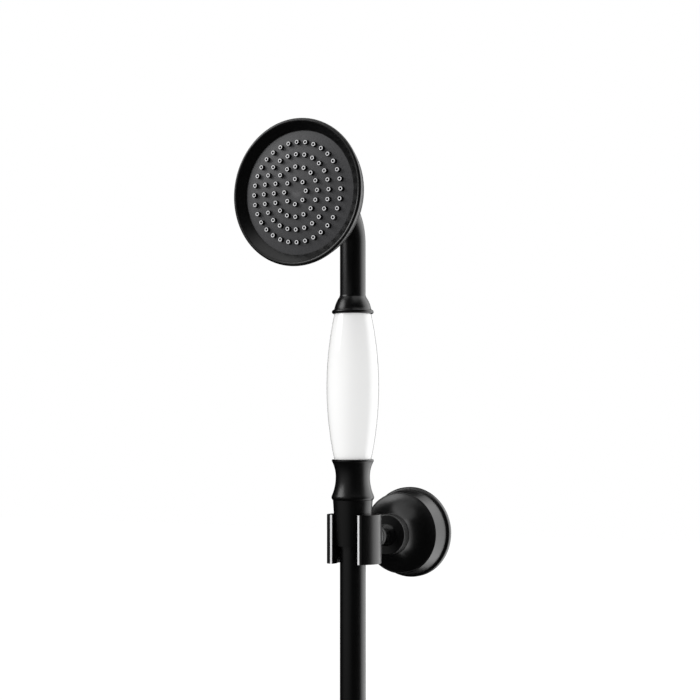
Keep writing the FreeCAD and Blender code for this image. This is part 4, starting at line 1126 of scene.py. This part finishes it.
@dataclass(frozen=True)
class Tent:
    """Black cloth round the set that only reflections see, open at the back and the top.

    The white world shows through both openings, and the patches are its lit panels. The
    two angles are how far round from the front it reaches and how high it stands.
    """

    radius: float = 1.9
    open_from: float = 173.0
    open_above: float = 53.0
    dark: float = 0.008
    steps: int = 72
    rows: int = 30
    patches: tuple[GlowPatch, ...] = (
        GlowPatch(-30.0, 14.0, 34.0, 26.0, 22.0, 0.34),
        GlowPatch(142.0, 5.0, 33.0, 62.0, 15.0, 2.5),
    )

    def build(self) -> None:
        """Makes the cloth as a stage object."""
        mesh = bpy.data.meshes.new("tent")
        points = []
        for row in range(self.rows + 1):
            up = math.radians(-90 + (90 + self.open_above) * row / self.rows)
            for step in range(self.steps + 1):
                around = math.radians(self.open_from * (2 * step / self.steps - 1))
                points.append(tuple(towards(around, up) * self.radius))
        width = self.steps + 1
        corners = (row * width + step for row in range(self.rows) for step in range(self.steps))
        faces = [(low, low + 1, low + width + 1, low + width) for low in corners]
        mesh.from_pydata(points, [], faces)
        tent = new_piece("tent", mesh, self._cloth())
        tent.visible_camera = False
        tent.visible_diffuse = False
        tent.visible_shadow = False
        tent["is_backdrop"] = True

    def _cloth(self) -> bpy.types.Material:
        """Black cloth with the glowing patches."""
        surface = Surface("tent_cloth")
        x, y, z = surface.split(surface.vector("NORMALIZE", surface.place))
        azimuth = surface.math("DEGREES", surface.math("ARCTAN2", x, 0.0 - y))
        elevation = surface.math("DEGREES", surface.math("ARCSINE", z))
        glow: Signal | float = self.dark
        for patch in self.patches:
            glow = glow + patch.shine(surface, azimuth, elevation)
        weave = surface.noise(0.1)
        return surface.finish(
            Base_Color=surface.blend(weave, (0.001, 0.001, 0.001), (0.002, 0.002, 0.002)),
            Roughness=1.0,
            Specular_IOR_Level=0.0,
            Emission_Color=surface.join(glow, glow, glow),
            Emission_Strength=1.0,
        )


@dataclass(frozen=True)
class KeyLamp:
    """A square lamp that looks at the object's middle."""

    azimuth: float = -48.0
    elevation: float = 36.0
    distance: float = 1.1
    size: float = 0.6
    power: float = 4.6

    def build(self) -> None:
        """Makes the lamp."""
        data = bpy.data.lights.new("key", "AREA")
        data.size = self.size
        data.energy = self.power
        lamp = bpy.data.objects.new("key", data)
        away = towards(math.radians(self.azimuth), math.radians(self.elevation))
        centre = sum(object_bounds(), Vector()) / 2
        lamp.location = centre + away * self.distance
        lamp.rotation_euler = away.to_track_quat("Z", "Y").to_euler()
        bpy.context.scene.collection.objects.link(lamp)


def shown_rays(graph: Graph) -> Signal:
    """1 for rays that show the background: from the camera, off metal and through glass."""
    path = graph.node("ShaderNodeLightPath").socket.node
    kinds = ("Is Camera Ray", "Is Glossy Ray", "Is Transmission Ray")
    camera, glossy, through = (Signal(graph, path.outputs[kind]) for kind in kinds)
    return graph.math("ADD", camera + glossy, through, clamp=True)


@dataclass
class Studio:
    """Camera, white world, lamp, tent and floor."""

    camera_place: tuple[float, float, float] = (0.4917, -0.9495, 0.0689)
    azimuth: float = 29.5
    pitch: float = 2.592
    lens: float = 84.85
    floor_height: float = -2.2
    floor_size: float = 60.0
    floor_lift: float = 0.16
    floor_cloud: float = 0.4
    floor_tints: tuple[Colour, Colour] = ((0.93, 0.93, 0.93), (0.95, 0.95, 0.95))
    ambient: float = 0.94
    tent: Tent = field(default_factory=Tent)
    key: KeyLamp = field(default_factory=KeyLamp)

    def build(self) -> None:
        """Makes the camera, the light and the floor."""
        self._camera()
        self._world()
        self.key.build()
        self.tent.build()
        self._floor()
        bpy.context.scene.view_settings.view_transform = "Standard"

    def _camera(self) -> None:
        """A long lens from the right, tipped up a little."""
        data = bpy.data.cameras.new("camera")
        data.lens = self.lens
        camera = bpy.data.objects.new("camera", data)
        camera.location = self.camera_place
        camera.rotation_euler = (math.radians(90 + self.pitch), 0, math.radians(self.azimuth))
        bpy.context.scene.collection.objects.link(camera)
        bpy.context.scene.camera = camera

    def _world(self) -> None:
        """A white background for the camera and for reflections, and plain light on dull surfaces."""
        world = bpy.data.worlds.new("studio")
        world.use_nodes = True
        graph = Graph(world.node_tree)
        level = self.ambient + shown_rays(graph) * (1.0 - self.ambient)
        inputs = {"Color": graph.join(level, level, level), "Strength": 1.0}
        background = graph.node("ShaderNodeBackground", inputs=inputs)
        graph.node("ShaderNodeOutputWorld", inputs={"Surface": background})
        bpy.context.scene.world = world

    def _floor(self) -> None:
        """A pale floor well below the hose, lifted to the background's white where it is seen."""
        half = self.floor_size / 2
        corners = [(-half, -half), (half, -half), (half, half), (-half, half)]
        mesh = bpy.data.meshes.new("floor")
        mesh.from_pydata([(x, y, self.floor_height) for x, y in corners], [], [(0, 1, 2, 3)])
        surface = Surface("pale_floor")
        clouds = surface.noise(self.floor_cloud)
        lift = shown_rays(surface) * self.floor_lift
        material = surface.finish(
            Base_Color=surface.blend(clouds, *self.floor_tints),
            Roughness=0.9,
            Specular_IOR_Level=0.0,
            Emission_Color=surface.join(lift, lift, lift),
            Emission_Strength=1.0,
        )
        new_piece("floor", mesh, material)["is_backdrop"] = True


def main() -> None:
    """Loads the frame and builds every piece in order."""
    logging.basicConfig(level=logging.INFO, format="%(name)s: %(message)s")
    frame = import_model()
    Studio().build()
    MetalWork(frame["nodes"]).dress()
    Hose().build()
    Head().dress()


if __name__ == "__main__":
    main()
